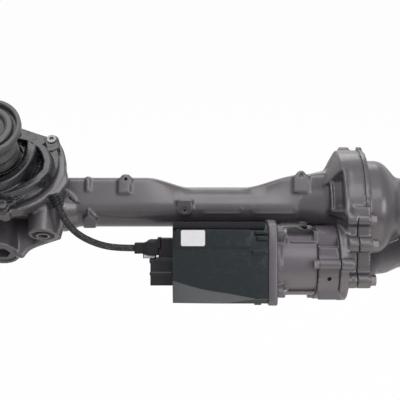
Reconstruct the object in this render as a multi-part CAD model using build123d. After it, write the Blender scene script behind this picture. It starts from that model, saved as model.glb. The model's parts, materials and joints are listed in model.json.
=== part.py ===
from build123d import *
import math
import os

# Electric power steering gear with a belt and ball-nut drive, in millimetres.
# While it is modelled, the rack's axis is the X line through (0, 0, 0), +Z is up and -Y is the
# side that the motor is on. X = 0 is the vehicle's centre plane. Everything is moved at the end,
# so that the origin is the middle of the left mounting bore.

# Fits
seat_gap = 0.02
run_gap = 0.05
face_gap = 0.3

# Main places along the rack. The belt drive, the motor and the belt cover take theirs from the
# seam between the rack housing and the belt cover.
seam_x = 163.0
left_end = -272.0
cover_length = 73.0
right_end = seam_x + cover_length
chamber_depth = 11.0
chamber_front = seam_x - chamber_depth

# Rack bar
rack_radius = 13.5
rack_travel = 73.0
rack_tip = 1.0
rack_left_end = left_end - rack_travel
rack_right_end = right_end + rack_travel + rack_tip
rack_end_bore = 6.3
rack_end_bore_depth = 26.0

# Pinion and rack teeth
pinion_x = -212.0
tower_angle = 55.0
pinion_teeth = 8
gear_module = 2.0
pressure_angle = 25.0
rack_addendum = 1.3
pinion_addendum = 1.4
root_clearance = 0.3
flank_clearance = 0.08
rack_flat_height = 8.6
pinion_face = 26.0

# Pinion shaft, along the tower's axis, measured from the rack's axis
pinion_journal_radius = 6.0
pinion_upper_radius = 10.0
pinion_low_end = -26.0
upper_bearing_start = 18.0
upper_bearing_width = 12.0
upper_bearing_radius = 21.0
lower_bearing_radius = 9.0
lower_bearing_width = 10.0
pinion_cap_radius = 15.0
pinion_cap_height = 10.0
torsion_bar_radius = 2.6
input_shaft_radius = 9.0
input_shaft_end = 136.0
torsion_twist = 4.0

# Ball screw and nut
screw_lead = 7.0
ball_radius = 2.5
ball_circle = 13.9
groove_radius = 2.7
nut_radius = 25.0
nut_length = 39.0
nut_start = seam_x - 6.0
nut_end = nut_start + nut_length
screw_start = nut_start - rack_travel - 18.0
screw_end = nut_end + rack_travel + 3.0
nut_shoulder = 31.0
ball_turns = 2
balls_per_turn = 15
nut_bearing_start = seam_x + 12.0
nut_bearing_width = 17.0
nut_bearing_radius = 42.5
nut_bearing_bore = 28.0
lock_ring_width = 3.0

# Belt drive
belt_pitch = 3.0
nut_pulley_teeth = 84
motor_pulley_teeth = 29
belt_line_drop = 0.4
belt_tooth_depth = 1.1
belt_thickness = 1.6
belt_gap = 0.15
belt_width = 12.5
belt_x = seam_x + 1.0
pulley_width = 14.0
motor_distance = 67.2
motor_angle = 37.6

# Motor
motor_flange_depth = 9.0
motor_face = chamber_front - motor_flange_depth
shield_length = 22.0
motor_end = motor_face - shield_length
motor_length = 42.0
motor_start = motor_end - motor_length
motor_radius = 35.0
motor_ear_depth = 7.0
motor_wall = 3.2
shield_radius = 38.5
stator_inner = 22.8
stator_start = motor_start + 14.0
stator_length = 22.0
coil_overhang = 5.0
stator_slots = 12
rotor_radius = 20.0
magnet_thickness = 2.2
magnet_count = 8
motor_shaft_radius = 7.5
motor_bearing_radius = 17.0
motor_bearing_width = 9.0
front_bearing_start = motor_end + 10.0
rear_bearing_start = motor_start + 4.5
shield_room = 31.8
spigot_radius = 19.0

# Control unit
unit_flange_width = 9.5
unit_end = motor_start - unit_flange_width
unit_length = 97.5
unit_start = unit_end - unit_length
unit_half = 42.6
unit_low = 40.2
unit_roll = 22.0
unit_wall = 2.6

# Rack housing
housing_wall = 4.5
housing_bore = 17.0
barrel_length = 126.0
barrel_end = left_end + barrel_length
barrel_radius = 27.0
web_top_radius = 6.0
left_web_height = 28.0
right_web_height = 31.5
bell_length = 22.0
bell_start = chamber_front - bell_length
bell_radius = 46.0
bell_room = 36.0
chamber_radius = 62.0
lobe_radius = 23.0
chamber_wall = 4.0
chamber_nut_room = 46.0
chamber_motor_room = 18.5
motor_flange_radius = 40.6

# Tower of the rack housing
tower_radius = 31.0
tower_flange_start = 44.0
tower_flange_end = 58.0
tower_flange_radius = 57.0
tower_flange_shift = 13.0
sensor_room_radius = 27.0
yoke_radius = 15.0
yoke_barrel_radius = 20.5
yoke_barrel_end = 60.0

# Belt cover
cover_flange_width = 14.0
cover_flange_end = seam_x + cover_flange_width
dome_radius = 50.6
dome_length = 14.0
dome_end = cover_flange_end + dome_length
neck_start = dome_end + 20.0
neck_radius = 31.5
neck_bore = 26.0

# Mounting bosses
mount_angle = 45.0
boss_radius = 16.5
boss_length = 60.0
boss_face = 47.0
bush_radius = 11.5
sleeve_radius = 7.4
sleeve_bore = 5.2
left_boss_x = -164.0
left_boss_offset = 34.4
outer_boss_x = -259.0
right_boss_x = right_end + 18.0
right_boss_offset = -52.0

# Sensor cover on the tower
cover_plate = 6.0
cover_plate_radius = 53.0
cover_lip_top = 76.0
cover_lip_radius = 48.0
cover_lip_shift = 5.0
cover_wall = 3.5
horseshoe_outer = 49.5
horseshoe_inner = 41.0
horseshoe_shift = -6.0
horseshoe_top = 89.0
cover_throat = 17.0

# Sealing collar on the tower
collar_top = 127.0
collar_rim = 33.8
collar_groove = 24.5
collar_mouth = 17.5
collar_foot = 25.0

# Screws
cover_bolt_radius = 3.0
cover_bolt_circle = 57.5
motor_bolt_radius = 2.5
small_screw_radius = 2.5
small_screw_head = 3.4

# Cable from the sensor to the control unit
cable_radius = 3.6

rack_line = Plane(origin=(0, 0, 0), x_dir=(0, 1, 0), z_dir=(1, 0, 0))
motor_y = -motor_distance * math.cos(math.radians(motor_angle))
motor_z = -motor_distance * math.sin(math.radians(motor_angle))
motor_line = Plane(origin=(0, motor_y, motor_z), x_dir=(0, 1, 0), z_dir=(1, 0, 0))

tilt = math.radians(tower_angle)
tower = Plane(origin=(pinion_x, 0, 0), x_dir=(1, 0, 0), z_dir=(0, -math.cos(tilt), math.sin(tilt)))
pinion_pitch_radius = gear_module * pinion_teeth / 2
rack_pitch_height = rack_flat_height - rack_addendum
pinion_offset = rack_pitch_height + pinion_pitch_radius
pinion_line = Plane(tower.location * Pos(0, pinion_offset, 0))
yoke_line = Plane(origin=(pinion_x, 0, 0), x_dir=(1, 0, 0), z_dir=(0, -math.sin(tilt), -math.cos(tilt)))

mount_tilt = math.radians(mount_angle)
mount_down = Vector(0, -math.cos(mount_tilt), -math.sin(mount_tilt))
mount_front = Vector(0, -math.sin(mount_tilt), math.cos(mount_tilt))


def mount_line(x, offset):
    origin = Vector(x, 0, 0) + mount_front * offset
    return Plane(origin=origin, x_dir=(1, 0, 0), z_dir=mount_down)


left_mount = mount_line(left_boss_x, left_boss_offset)
outer_mount = mount_line(outer_boss_x, left_boss_offset)
right_mount = mount_line(right_boss_x, right_boss_offset)
boss_start = boss_face - boss_length
frame_shift = Location(-(left_mount.origin + mount_down * (boss_face - boss_length / 2)))


def rod(line, radius, start, end):
    shape = Cylinder(radius, end - start, align=(Align.CENTER, Align.CENTER, Align.MIN))
    return line * Pos(0, 0, start) * shape


def ring(line, outer, inner, start, end):
    return rod(line, outer, start, end) - rod(line, inner, start - 1, end + 1)


def cone(line, start_radius, end_radius, start, end):
    shape = Cone(start_radius, end_radius, end - start, align=(Align.CENTER, Align.CENTER, Align.MIN))
    return line * Pos(0, 0, start) * shape


def slab(line, sketch, start, end):
    return extrude(line * Pos(0, 0, start) * sketch, amount=end - start)


def around(line, count, radius, shape, start_angle=0.0):
    copies = []
    for index in range(count):
        turn = start_angle + index * 360 / count
        copies.append(line * Rot(0, 0, turn) * Pos(radius, 0, 0) * shape)
    return copies


def hull_of_circles(first_radius, second_radius, second_x, second_y):
    """The outline that a belt would take around two circles, the first at the origin."""
    distance = math.hypot(second_x, second_y)
    heading = math.atan2(second_y, second_x)
    spread = math.acos((first_radius - second_radius) / distance)
    corners = []
    for side in (1, -1):
        turn = heading + side * spread
        direction = (math.cos(turn), math.sin(turn))
        corners.append((
            (first_radius * direction[0], first_radius * direction[1]),
            (second_x + second_radius * direction[0], second_y + second_radius * direction[1])))
    (first_left, second_left), (first_right, second_right) = corners
    far = (second_x + second_radius * math.cos(heading), second_y + second_radius * math.sin(heading))
    near = (-first_radius * math.cos(heading), -first_radius * math.sin(heading))
    edges = [
        Line(first_left, second_left),
        ThreePointArc(second_left, far, second_right),
        Line(second_right, first_right),
        ThreePointArc(first_right, near, first_left)]
    return make_face(edges)


def drive_outline(nut_side, motor_side):
    return hull_of_circles(nut_side, motor_side, motor_y, motor_z)


def polygon(points):
    return make_face(Polyline(*points, close=True))


# Rack bar

def rack_teeth_profile():
    """Everything above the toothed flat, in the tower's X and Y, with a space at the pinion."""
    pitch = math.pi * gear_module
    slope = math.tan(math.radians(pressure_angle))
    root = rack_flat_height - rack_addendum - pinion_addendum - root_clearance
    half_mesh = rack_travel + 18.0
    spaces = 2 * int(half_mesh / pitch) + 1
    half_pitch_gap = pitch / 4 + flank_clearance
    half_top = half_pitch_gap + rack_addendum * slope
    half_root = half_pitch_gap - (rack_pitch_height - root) * slope
    first = -(spaces - 1) / 2 * pitch
    top = rack_radius + 2
    points = [(first - half_top, top)]
    for index in range(spaces):
        middle = first + index * pitch
        points.append((middle - half_top, rack_flat_height))
        points.append((middle - half_root, root))
        points.append((middle + half_root, root))
        points.append((middle + half_top, rack_flat_height))
    points.append((first + (spaces - 1) * pitch + half_top, top))
    return polygon(points)


def screw_angle(x):
    return 2 * math.pi * (x - screw_start) / screw_lead


def ball_groove(start, end, radius):
    path = Helix(pitch=screw_lead, height=end - start, radius=ball_circle)
    section = Plane(origin=path @ 0, z_dir=path % 0, x_dir=(0, 0, 1)) * Circle(radius)
    groove = sweep(section, path=path, is_frenet=True)
    turn = math.degrees(screw_angle(start))
    return rack_line * Pos(0, 0, start) * Rot(0, 0, turn) * groove


def rack_bar():
    bar = rod(rack_line, rack_radius, rack_left_end, rack_right_end)
    bar = chamfer(bar.edges().filter_by(GeomType.CIRCLE), 1.2)
    bar -= slab(tower, rack_teeth_profile(), -rack_radius - 1, rack_radius + 1)
    bar -= ball_groove(screw_start, screw_end, groove_radius)
    bar -= rod(rack_line, rack_end_bore, rack_left_end - 1, rack_left_end + rack_end_bore_depth)
    bar -= rod(rack_line, rack_end_bore, rack_right_end - rack_end_bore_depth, rack_right_end + 1)
    return bar


# Pinion and input shaft

def involute_point(base_radius, radius):
    roll = math.sqrt(max((radius / base_radius) ** 2 - 1, 0))
    return roll - math.atan(roll)


def gear_outline(teeth, module, angle, addendum, dedendum, backlash, steps=5):
    """A spur gear's outline, with one tooth pointing along -Y."""
    pitch_radius = module * teeth / 2
    base_radius = pitch_radius * math.cos(math.radians(angle))
    tip_radius = pitch_radius + addendum
    root_radius = pitch_radius - dedendum
    half_tooth = math.pi / 2 / teeth - backlash / pitch_radius + involute_point(base_radius, pitch_radius)
    flank_start = max(base_radius, root_radius)
    flank = []
    for step in range(steps + 1):
        radius = flank_start + (tip_radius - flank_start) * step / steps
        flank.append((radius, half_tooth - involute_point(base_radius, radius)))
    points = []
    for tooth in range(teeth):
        middle = 2 * math.pi * tooth / teeth - math.pi / 2
        tooth_side = [(root_radius, flank[0][1])] + flank
        for radius, half in tooth_side:
            points.append((radius * math.cos(middle - half), radius * math.sin(middle - half)))
        for radius, half in reversed(tooth_side):
            points.append((radius * math.cos(middle + half), radius * math.sin(middle + half)))
    return polygon(points)


def pinion():
    dedendum = rack_addendum + root_clearance
    teeth = gear_outline(pinion_teeth, gear_module, pressure_angle, pinion_addendum, dedendum, flank_clearance)
    body = slab(pinion_line, teeth, -pinion_face / 2, pinion_face / 2)
    body += rod(pinion_line, pinion_journal_radius, pinion_low_end, -pinion_face / 2)
    body += rod(pinion_line, pinion_upper_radius, pinion_face / 2, upper_bearing_start + upper_bearing_width + 14)
    body -= rod(pinion_line, torsion_bar_radius + seat_gap, 20, upper_bearing_start + upper_bearing_width + 15)
    socket_start = upper_bearing_start + upper_bearing_width + 6
    body -= rod(pinion_line, 6.5, socket_start, socket_start + 20)
    return body


def torsion_bar():
    bar = rod(pinion_line, torsion_bar_radius, 20 + face_gap, input_shaft_end - 4)
    bar += rod(pinion_line, torsion_bar_radius + 1.0, input_shaft_end - 14, input_shaft_end - 4)
    return bar


def spline_outline(radius, count, depth):
    points = []
    for index in range(count):
        for share, level in ((0.1, radius - depth), (0.3, radius), (0.7, radius), (0.9, radius - depth)):
            turn = 2 * math.pi * (index + share) / count
            points.append((level * math.cos(turn), level * math.sin(turn)))
    return polygon(points)


input_shaft_start = upper_bearing_start + upper_bearing_width + 14 + face_gap
spline_length = 24.0


def input_shaft():
    spline_start = input_shaft_end - spline_length
    shaft = rod(pinion_line, input_shaft_radius, input_shaft_start, spline_start)
    shaft += rod(pinion_line, 6.3, input_shaft_start - 7, input_shaft_start)
    shaft += slab(pinion_line, spline_outline(input_shaft_radius, 36, 0.7), spline_start, input_shaft_end)
    shaft -= rod(pinion_line, torsion_bar_radius + 1.0 + run_gap, input_shaft_start - 8, input_shaft_end + 1)
    shaft -= ring(pinion_line, input_shaft_radius + 2, input_shaft_radius - 1.4, input_shaft_end - 12,
                  input_shaft_end - 8)
    return shaft


def sensor_magnet():
    start = input_shaft_start + 2
    return ring(pinion_line, 15.0, input_shaft_radius + seat_gap, start, start + 9)


def sensor_stator():
    start = input_shaft_start + 1
    body = ring(pinion_line, sensor_room_radius - seat_gap, 15.0 + face_gap, start, start + 11)
    return body


def input_seal():
    return ring(pinion_line, cover_throat - seat_gap, input_shaft_radius + run_gap,
                tower_flange_end + 1, tower_flange_end + 7)


# Bearings

def bearing_outer(line, outer, track, start, width, ball):
    shape = ring(line, outer, track + ball * 0.55, start, start + width)
    return shape - line * Pos(0, 0, start + width / 2) * Torus(track, ball + 0.02)


def bearing_inner(line, inner, track, start, width, ball):
    shape = ring(line, track - ball * 0.55, inner, start, start + width)
    return shape - line * Pos(0, 0, start + width / 2) * Torus(track, ball + run_gap)


def bearing_balls(line, track, start, width, ball, count):
    shape = Sphere(ball)
    return around(line * Pos(0, 0, start + width / 2), count, track, shape)


upper_track = (upper_bearing_radius + pinion_upper_radius) / 2
upper_ball = (upper_bearing_radius - pinion_upper_radius) * 0.28


def pinion_bearing_outer():
    return bearing_outer(pinion_line, upper_bearing_radius - seat_gap, upper_track, upper_bearing_start,
                         upper_bearing_width, upper_ball)


def pinion_bearing_inner():
    return bearing_inner(pinion_line, pinion_upper_radius + seat_gap, upper_track, upper_bearing_start,
                         upper_bearing_width, upper_ball)


def pinion_bearing_balls():
    return bearing_balls(pinion_line, upper_track, upper_bearing_start, upper_bearing_width, upper_ball, 10)


lower_bearing_start = pinion_low_end + 1.0


def pinion_lower_bearing():
    return ring(pinion_line, lower_bearing_radius - seat_gap, pinion_journal_radius + run_gap,
                lower_bearing_start, lower_bearing_start + lower_bearing_width)


def pinion_cap():
    end = lower_bearing_start - 2.0
    start = end - pinion_cap_height
    cap = rod(pinion_line, pinion_cap_radius - seat_gap, start, end)
    cap -= slab(pinion_line, RegularPolygon(8.0, 6, major_radius=False), start - 1, start + 5)
    return cap


# Yoke, its liner, spring and adjuster

yoke_liner_thickness = 1.0
yoke_start = 3.0
yoke_end = 33.0
yoke_float = 0.1
adjuster_start = 36.0
adjuster_end = yoke_barrel_end - 2
adjuster_radius = 16.5


def yoke():
    body = rod(yoke_line, yoke_radius - run_gap, yoke_start, yoke_end)
    body -= rod(rack_line, rack_radius + run_gap + yoke_liner_thickness + seat_gap, pinion_x - 20, pinion_x + 20)
    body -= rod(yoke_line, 9.0, yoke_end - 9, yoke_end + 1)
    groove_at = yoke_end - 6
    body -= ring(yoke_line, yoke_radius + 1, yoke_radius - 2.2, groove_at - 1.4, groove_at + 1.4)
    return body


def yoke_liner():
    inner = rack_radius + run_gap
    shell = ring(rack_line, inner + yoke_liner_thickness, inner, pinion_x - 11, pinion_x + 11)
    keep = rod(yoke_line, yoke_radius - 1, yoke_start + 1, yoke_end)
    return shell & keep


def yoke_o_ring():
    return yoke_line * Pos(0, 0, yoke_end - 6) * Torus(yoke_radius - 1.25, 0.9)


def coil_spring(line, radius, wire, start, end, turns):
    """A closed spring: the wire's middle runs between its two end rings."""
    height = end - start - 2 * wire
    path = Helix(pitch=height / turns, height=height, radius=radius)
    section = Plane(origin=path @ 0, z_dir=path % 0, x_dir=(0, 0, 1)) * Circle(wire)
    coil = sweep(section, path=path, is_frenet=True)
    return line * Pos(0, 0, start + wire) * coil


def yoke_spring():
    start = yoke_end - 9 + yoke_float + 0.1
    return coil_spring(yoke_line, 6.5, 1.3, start, adjuster_start + 5 - 0.1, 3.5)


def yoke_adjuster():
    body = rod(yoke_line, adjuster_radius - seat_gap, adjuster_start, adjuster_end)
    body -= rod(yoke_line, 9.0, adjuster_start - 1, adjuster_start + 5)
    body -= slab(yoke_line, RegularPolygon(9.0, 6, major_radius=False), adjuster_end - 8, adjuster_end + 1)
    return body


# Rack housing

def web_section(height):
    """The tube's section: the round tube with a smaller round ridge above it."""
    tube_radius = housing_bore + housing_wall
    return hull_of_circles(tube_radius, web_top_radius, 0, height)


def ramp(start, end, start_height, end_height, steps=4):
    """The tube between two heights of its ridge, along a smooth ogee."""
    sections = []
    for step in range(steps + 1):
        share = step / steps
        blend = share * share * (3 - 2 * share)
        height = start_height + (end_height - start_height) * blend
        sections.append(rack_line * Pos(0, 0, start + (end - start) * share) * web_section(height))
    return loft(sections)


low_web = housing_bore + housing_wall - web_top_radius + 0.6
left_ramp_start = -58.0
left_ramp_end = -8.0
right_ramp_start = 44.0
right_ramp_end = bell_start - 20.0


def tube():
    body = slab(rack_line, web_section(left_web_height), barrel_end - 20, left_ramp_start)
    body += ramp(left_ramp_start, left_ramp_end, left_web_height, low_web)
    body += slab(rack_line, web_section(low_web), left_ramp_end, right_ramp_start)
    body += ramp(right_ramp_start, right_ramp_end, low_web, right_web_height)
    body += slab(rack_line, web_section(right_web_height), right_ramp_end, bell_start + 12)
    return body


def web_face(x, height):
    """The plane on the tube's flat front flank, its Y up the flank and its Z outwards."""
    tube_radius = housing_bore + housing_wall
    lean = math.asin((tube_radius - web_top_radius) / height)
    normal = Vector(0, -math.cos(lean), math.sin(lean))
    foot = Vector(x, 0, 0) + normal * tube_radius
    return Plane(origin=foot, x_dir=(1, 0, 0), z_dir=normal)


tab_hole = 1.7
tab_lift = 2.2
tab_sink = 5.0


def clip_tab(line, width, low, high):
    """An upright tab with a round top and a hole for a clip."""
    arc_centre = high - width * 0.32
    sketch = Pos(0, (low + arc_centre) / 2) * Rectangle(width, arc_centre - low)
    sketch += Pos(0, arc_centre) * Circle(width * 0.32)
    sketch += polygon([(-width / 2, arc_centre - width * 0.3), (width / 2, arc_centre - width * 0.3),
                       (width * 0.3, arc_centre + width * 0.1), (-width * 0.3, arc_centre + width * 0.1)])
    tab = slab(line, sketch, -tab_sink, tab_lift)
    return tab - slab(line, Pos(0, arc_centre) * Circle(tab_hole), -tab_sink - 1, tab_lift + 1)


left_tab_x = -82.0
right_tab_x = right_ramp_end - 0.8
left_tab_width = 13.0
left_tab_low = 10.0
left_tab_high = 31.5
right_tab_width = 17.0
right_tab_low = 12.5
right_tab_high = 37.0


def clip_tabs():
    left = web_face(left_tab_x, left_web_height)
    right = web_face(right_tab_x, right_web_height)
    tabs = clip_tab(left, left_tab_width, left_tab_low, left_tab_high)
    tabs += clip_tab(right, right_tab_width, right_tab_low, right_tab_high)
    return tabs


front_boss_x = -16.5
front_boss_radius = 8.5
front_boss_lift = 2.0


def front_boss():
    """A shallow boss on the tube's front, flat on top and round below."""
    tube_radius = housing_bore + housing_wall
    line = Plane(origin=(front_boss_x, 0, 0), x_dir=(1, 0, 0), z_dir=(0, -1, 0.25))
    flat = Pos(0, front_boss_radius / 2) * Rectangle(2 * front_boss_radius, front_boss_radius)
    outline = Pos(0, front_boss_lift) * (Circle(front_boss_radius) + flat)
    boss = slab(line, outline, housing_bore + 1, tube_radius + 1.6)
    return boss - slab(line, Circle(tab_hole), tube_radius - 2.5, tube_radius + 3)


rib_x = -121.5
rib_height = 1.6
rib_width = 4.0


def tube_rib():
    """A low rounded rib across the top of the tube's ridge."""
    tube_radius = housing_bore + housing_wall
    outline = hull_of_circles(tube_radius + rib_height, web_top_radius + rib_height, 0, left_web_height)
    above = Pos(0, left_web_height + 7) * Rectangle(4 * web_top_radius, 24)
    return slab(rack_line, outline & above, rib_x - rib_width / 2, rib_x + rib_width / 2)


gusset_offset = 27.0


def gusset():
    """The small gusset under the tube's front, to the right of the left mounting boss."""
    line = Plane(origin=(0, 0, 0), x_dir=(1, 0, 0), z_dir=(0, -0.93, -0.37))
    fin = Pos(barrel_end + gusset_offset, 0) * polygon([(-8, -12), (5, -13), (8, 5), (-1, 14), (-6, 7)])
    return slab(line, fin, housing_bore - 3, housing_bore + housing_wall + 4)


def chamber():
    """The belt chamber's half in the rack housing, with the flange for the motor."""
    outline = drive_outline(chamber_radius, lobe_radius)
    body = slab(rack_line, outline, chamber_front, seam_x)
    body += rod(motor_line, motor_flange_radius, motor_face, chamber_front + 1)
    return body


def bell():
    """The tube's bell, which opens to the belt chamber."""
    tube_radius = housing_bore + housing_wall
    body = cone(rack_line, tube_radius - 1, bell_radius - 8, bell_start - 26, bell_start + 14)
    body += cone(rack_line, bell_radius - 8, bell_radius + 2, bell_start + 14, chamber_front)
    return body


junction_bolt_circle = 75.0
lobe_bolt_circle = 26.0


def beside_motor(turn, radius, y=0.0, z=0.0):
    """A Y, Z place at a radius, turned from the line that runs from the nut to the motor."""
    angle = math.radians(turn) + math.atan2(motor_z, motor_y)
    return (y + radius * math.cos(angle), z + radius * math.sin(angle))


def cover_bolt_spots():
    """Places of the belt cover's bolts, as Y, Z around the nut and the motor."""
    spots = [beside_motor(turn, cover_bolt_circle) for turn in (-47, 47, 105, 165)]
    spots += [beside_motor(turn, junction_bolt_circle) for turn in (-29, 29)]
    spots.append(beside_motor(-16, lobe_bolt_circle, motor_y, motor_z))
    return spots


def dowel_spots():
    """Places of the two dowels that line the belt cover up with the rack housing."""
    return [beside_motor(turn, cover_bolt_circle) for turn in (-150, 75)]


bolt_boss_radius = 8.5
dowel_radius = 4.0
dowel_length = 14.0
bolt_head_radius = 6.0


def cover_bolt_bosses(start, end):
    bosses = []
    for y, z in cover_bolt_spots() + dowel_spots():
        bosses.append(rod(rack_line * Pos(y, z, 0), bolt_boss_radius, start, end))
    return bosses


motor_bolt_turns = (-60, 60, 180)
motor_bolt_circle = 41.2
motor_lug_radius = 5.5
motor_bolt_depth = 12.0


def motor_bolt_lines():
    """The lines of the bolts that hold the motor to the rack housing."""
    motor_heading = math.degrees(math.atan2(motor_z, motor_y))
    lines = []
    for turn in motor_bolt_turns:
        angle = math.radians(motor_heading + turn)
        lines.append(motor_line * Pos(motor_bolt_circle * math.cos(angle),
                                      motor_bolt_circle * math.sin(angle), 0))
    return lines


def tower_casting():
    body = rod(pinion_line, tower_radius - 4, lower_bearing_start - 2 - pinion_cap_height, tower_flange_start)
    body += cone(pinion_line, tower_radius - 2, tower_radius + 10, 20, tower_flange_start)
    body += slab(pinion_line, flange_outline(tower_flange_radius), tower_flange_start, tower_flange_end)
    for x, y in sensor_screw_spots():
        body += slab(pinion_line, Pos(x, y) * Circle(8.0), tower_flange_start, tower_flange_end)
    body += rod(yoke_line, yoke_barrel_radius, 0, yoke_barrel_end)
    return body


def flange_outline(radius):
    """A circle whose back is cut off along a slanted line."""
    back = polygon([(-150, 114), (150, -6), (150, 200), (-150, 200)])
    return Pos(tower_flange_shift, 0) * Circle(radius) - back


def sensor_screw_spots():
    return [(54.0, 28.0), (11.0, -54.0), (-47.0, 14.0)]


def left_boss(line):
    """A left mounting boss with the web that ties it to the barrel."""
    boss = rod(line, boss_radius, boss_start, boss_face)
    low = boss_start + 4
    high = boss_face - 12
    web = Pos(0, 0, (low + high) / 2) * Box(boss_radius * 1.5, left_boss_offset, high - low,
                                            align=(Align.CENTER, Align.MAX, Align.CENTER))
    return boss + line * web


left_web_low = 26.0


def left_mount_web():
    """The plate between the two left bosses, above the yoke's barrel."""
    line = mount_line((outer_boss_x + left_boss_x) / 2, left_boss_offset)
    plate = Box(left_boss_x - outer_boss_x, 9.0, left_web_low - boss_start, align=(
        Align.CENTER, Align.CENTER, Align.MIN))
    return line * Pos(0, 0, boss_start) * plate


def yoke_web():
    """The plate from the yoke's barrel to the left boss, behind the boss. Its Y runs down."""
    line = Plane(origin=mount_front * (left_boss_offset - boss_radius), x_dir=(1, 0, 0), z_dir=-mount_front)
    outline = polygon([(-196, 10), (-196, 62), (-190, 64.5), (-186.8, 63.8), (-183.6, 58.6), (-180.5, 55.1),
                       (-174.1, 51.7), (-167.7, 49.3), (-155, 44.8), (-148.6, 42.5), (-146, 30), (-146, 10)])
    return slab(line, outline, 0, 6.5)


def rack_housing():
    body = rod(rack_line, barrel_radius, left_end + 24, barrel_end)
    body += cone(rack_line, barrel_radius, housing_bore + housing_wall, barrel_end, barrel_end + 14)
    body += rod(rack_line, barrel_radius - 1, left_end, left_end + 24)
    body += tube()
    body += bell()
    body += chamber()
    body += cover_bolt_bosses(chamber_front, seam_x)
    for line in motor_bolt_lines():
        body += rod(line, motor_lug_radius + 0.5, motor_face, motor_face + motor_bolt_depth + 3)
    body += tower_casting()
    body += left_boss(left_mount)
    body += left_boss(outer_mount)
    body += left_mount_web()
    body += yoke_web()
    body += clip_tabs()
    body += front_boss()
    body += tube_rib()
    body += gusset()
    return cut_housing(body)


inner_joint_room = 22.0
joint_room_depth = 22.0
bush_start = left_end + joint_room_depth
bush_length = 12.0
boot_groove = 1.2


def cut_housing(body):
    body -= rod(rack_line, housing_bore, left_end - 1, seam_x + 1)
    body -= rod(rack_line, inner_joint_room, left_end - 1, left_end + joint_room_depth)
    body -= ring(rack_line, barrel_radius + 3, barrel_radius - 1 - boot_groove, left_end + 6, left_end + 12)
    room = drive_outline(chamber_nut_room, chamber_motor_room)
    body -= slab(rack_line, room, chamber_front + chamber_wall, seam_x + 1)
    body -= rod(motor_line, spigot_radius, motor_face - 1, chamber_front + chamber_wall + 1)
    for y, z in cover_bolt_spots():
        body -= rod(rack_line * Pos(y, z, 0), cover_bolt_radius, chamber_front + 2, seam_x + 1)
    for y, z in dowel_spots():
        body -= rod(rack_line * Pos(y, z, 0), dowel_radius, seam_x - dowel_length / 2, seam_x + 1)
    for line in motor_bolt_lines():
        body -= rod(line, motor_bolt_radius, motor_face - 1, motor_face + motor_bolt_depth)
        body -= rod(line, motor_lug_radius + 1.5, motor_start, motor_face)
    body -= rod(pinion_line, pinion_pitch_radius + pinion_addendum + 1, -pinion_face / 2 - 1,
                upper_bearing_start + 1)
    body -= rod(pinion_line, lower_bearing_radius, lower_bearing_start - 3, -pinion_face / 2)
    cap_end = lower_bearing_start - 2.0
    body -= rod(pinion_line, pinion_cap_radius, cap_end - pinion_cap_height - 1, cap_end)
    body -= rod(pinion_line, upper_bearing_radius, upper_bearing_start, tower_flange_end)
    body -= rod(pinion_line, sensor_room_radius, upper_bearing_start + upper_bearing_width + 6,
                tower_flange_end + 1)
    body -= rod(yoke_line, yoke_radius, 0, adjuster_start + 1)
    body -= rod(yoke_line, adjuster_radius, adjuster_start - 1, yoke_barrel_end + 1)
    for line in (left_mount, outer_mount):
        body -= rod(line, bush_radius, boss_start - 30, boss_face + 1)
    for x, y in sensor_screw_spots():
        body -= slab(pinion_line, Pos(x, y) * Circle(small_screw_radius), tower_flange_end - 10,
                     tower_flange_end + 1)
    body -= rod(relief_line(), cable_radius + 2.8, -relief_length - 2, 1)
    body -= rod(motor_line, shield_radius + 2, motor_start, motor_face)
    body -= cone(rack_line, housing_bore, bell_room, bell_start - 6, chamber_front + chamber_wall + 1)
    return body


def rack_bush():
    return ring(rack_line, housing_bore - seat_gap, rack_radius + run_gap, bush_start, bush_start + bush_length)


# Belt cover with the dome, the right boot seat and the right mounting arm

def mounting_arm():
    boss = rod(right_mount, boss_radius, boss_start, boss_face)
    line = Plane(origin=(0, 0, 0), x_dir=(1, 0, 0), z_dir=(0, -math.sin(mount_tilt), math.cos(mount_tilt)))
    # In this plane +Y runs up and away from the motor, against the bosses' own direction.
    outline = polygon([(cover_flange_end - 2, -boss_start - 16), (neck_start, -boss_start - 6),
                       (right_boss_x, -boss_start - 6), (right_boss_x, -boss_face + 4),
                       (neck_start + 13, -boss_face - 4), (neck_start, -boss_face - 10),
                       (dome_end + 7, -boss_face - 12), (dome_end + 2, -boss_face - 20),
                       (cover_flange_end - 2, -boss_face - 22)])
    plate = slab(line, outline, right_boss_offset - 6, right_boss_offset + 6)
    rib_outline = polygon([(seam_x + 6, -28), (neck_start + 4, -24), (neck_start + 14, -20),
                           (neck_start + 4, 6), (seam_x + 6, 6)])
    rib = slab(line, rib_outline, right_boss_offset, -18)
    return boss + plate + rib


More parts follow.
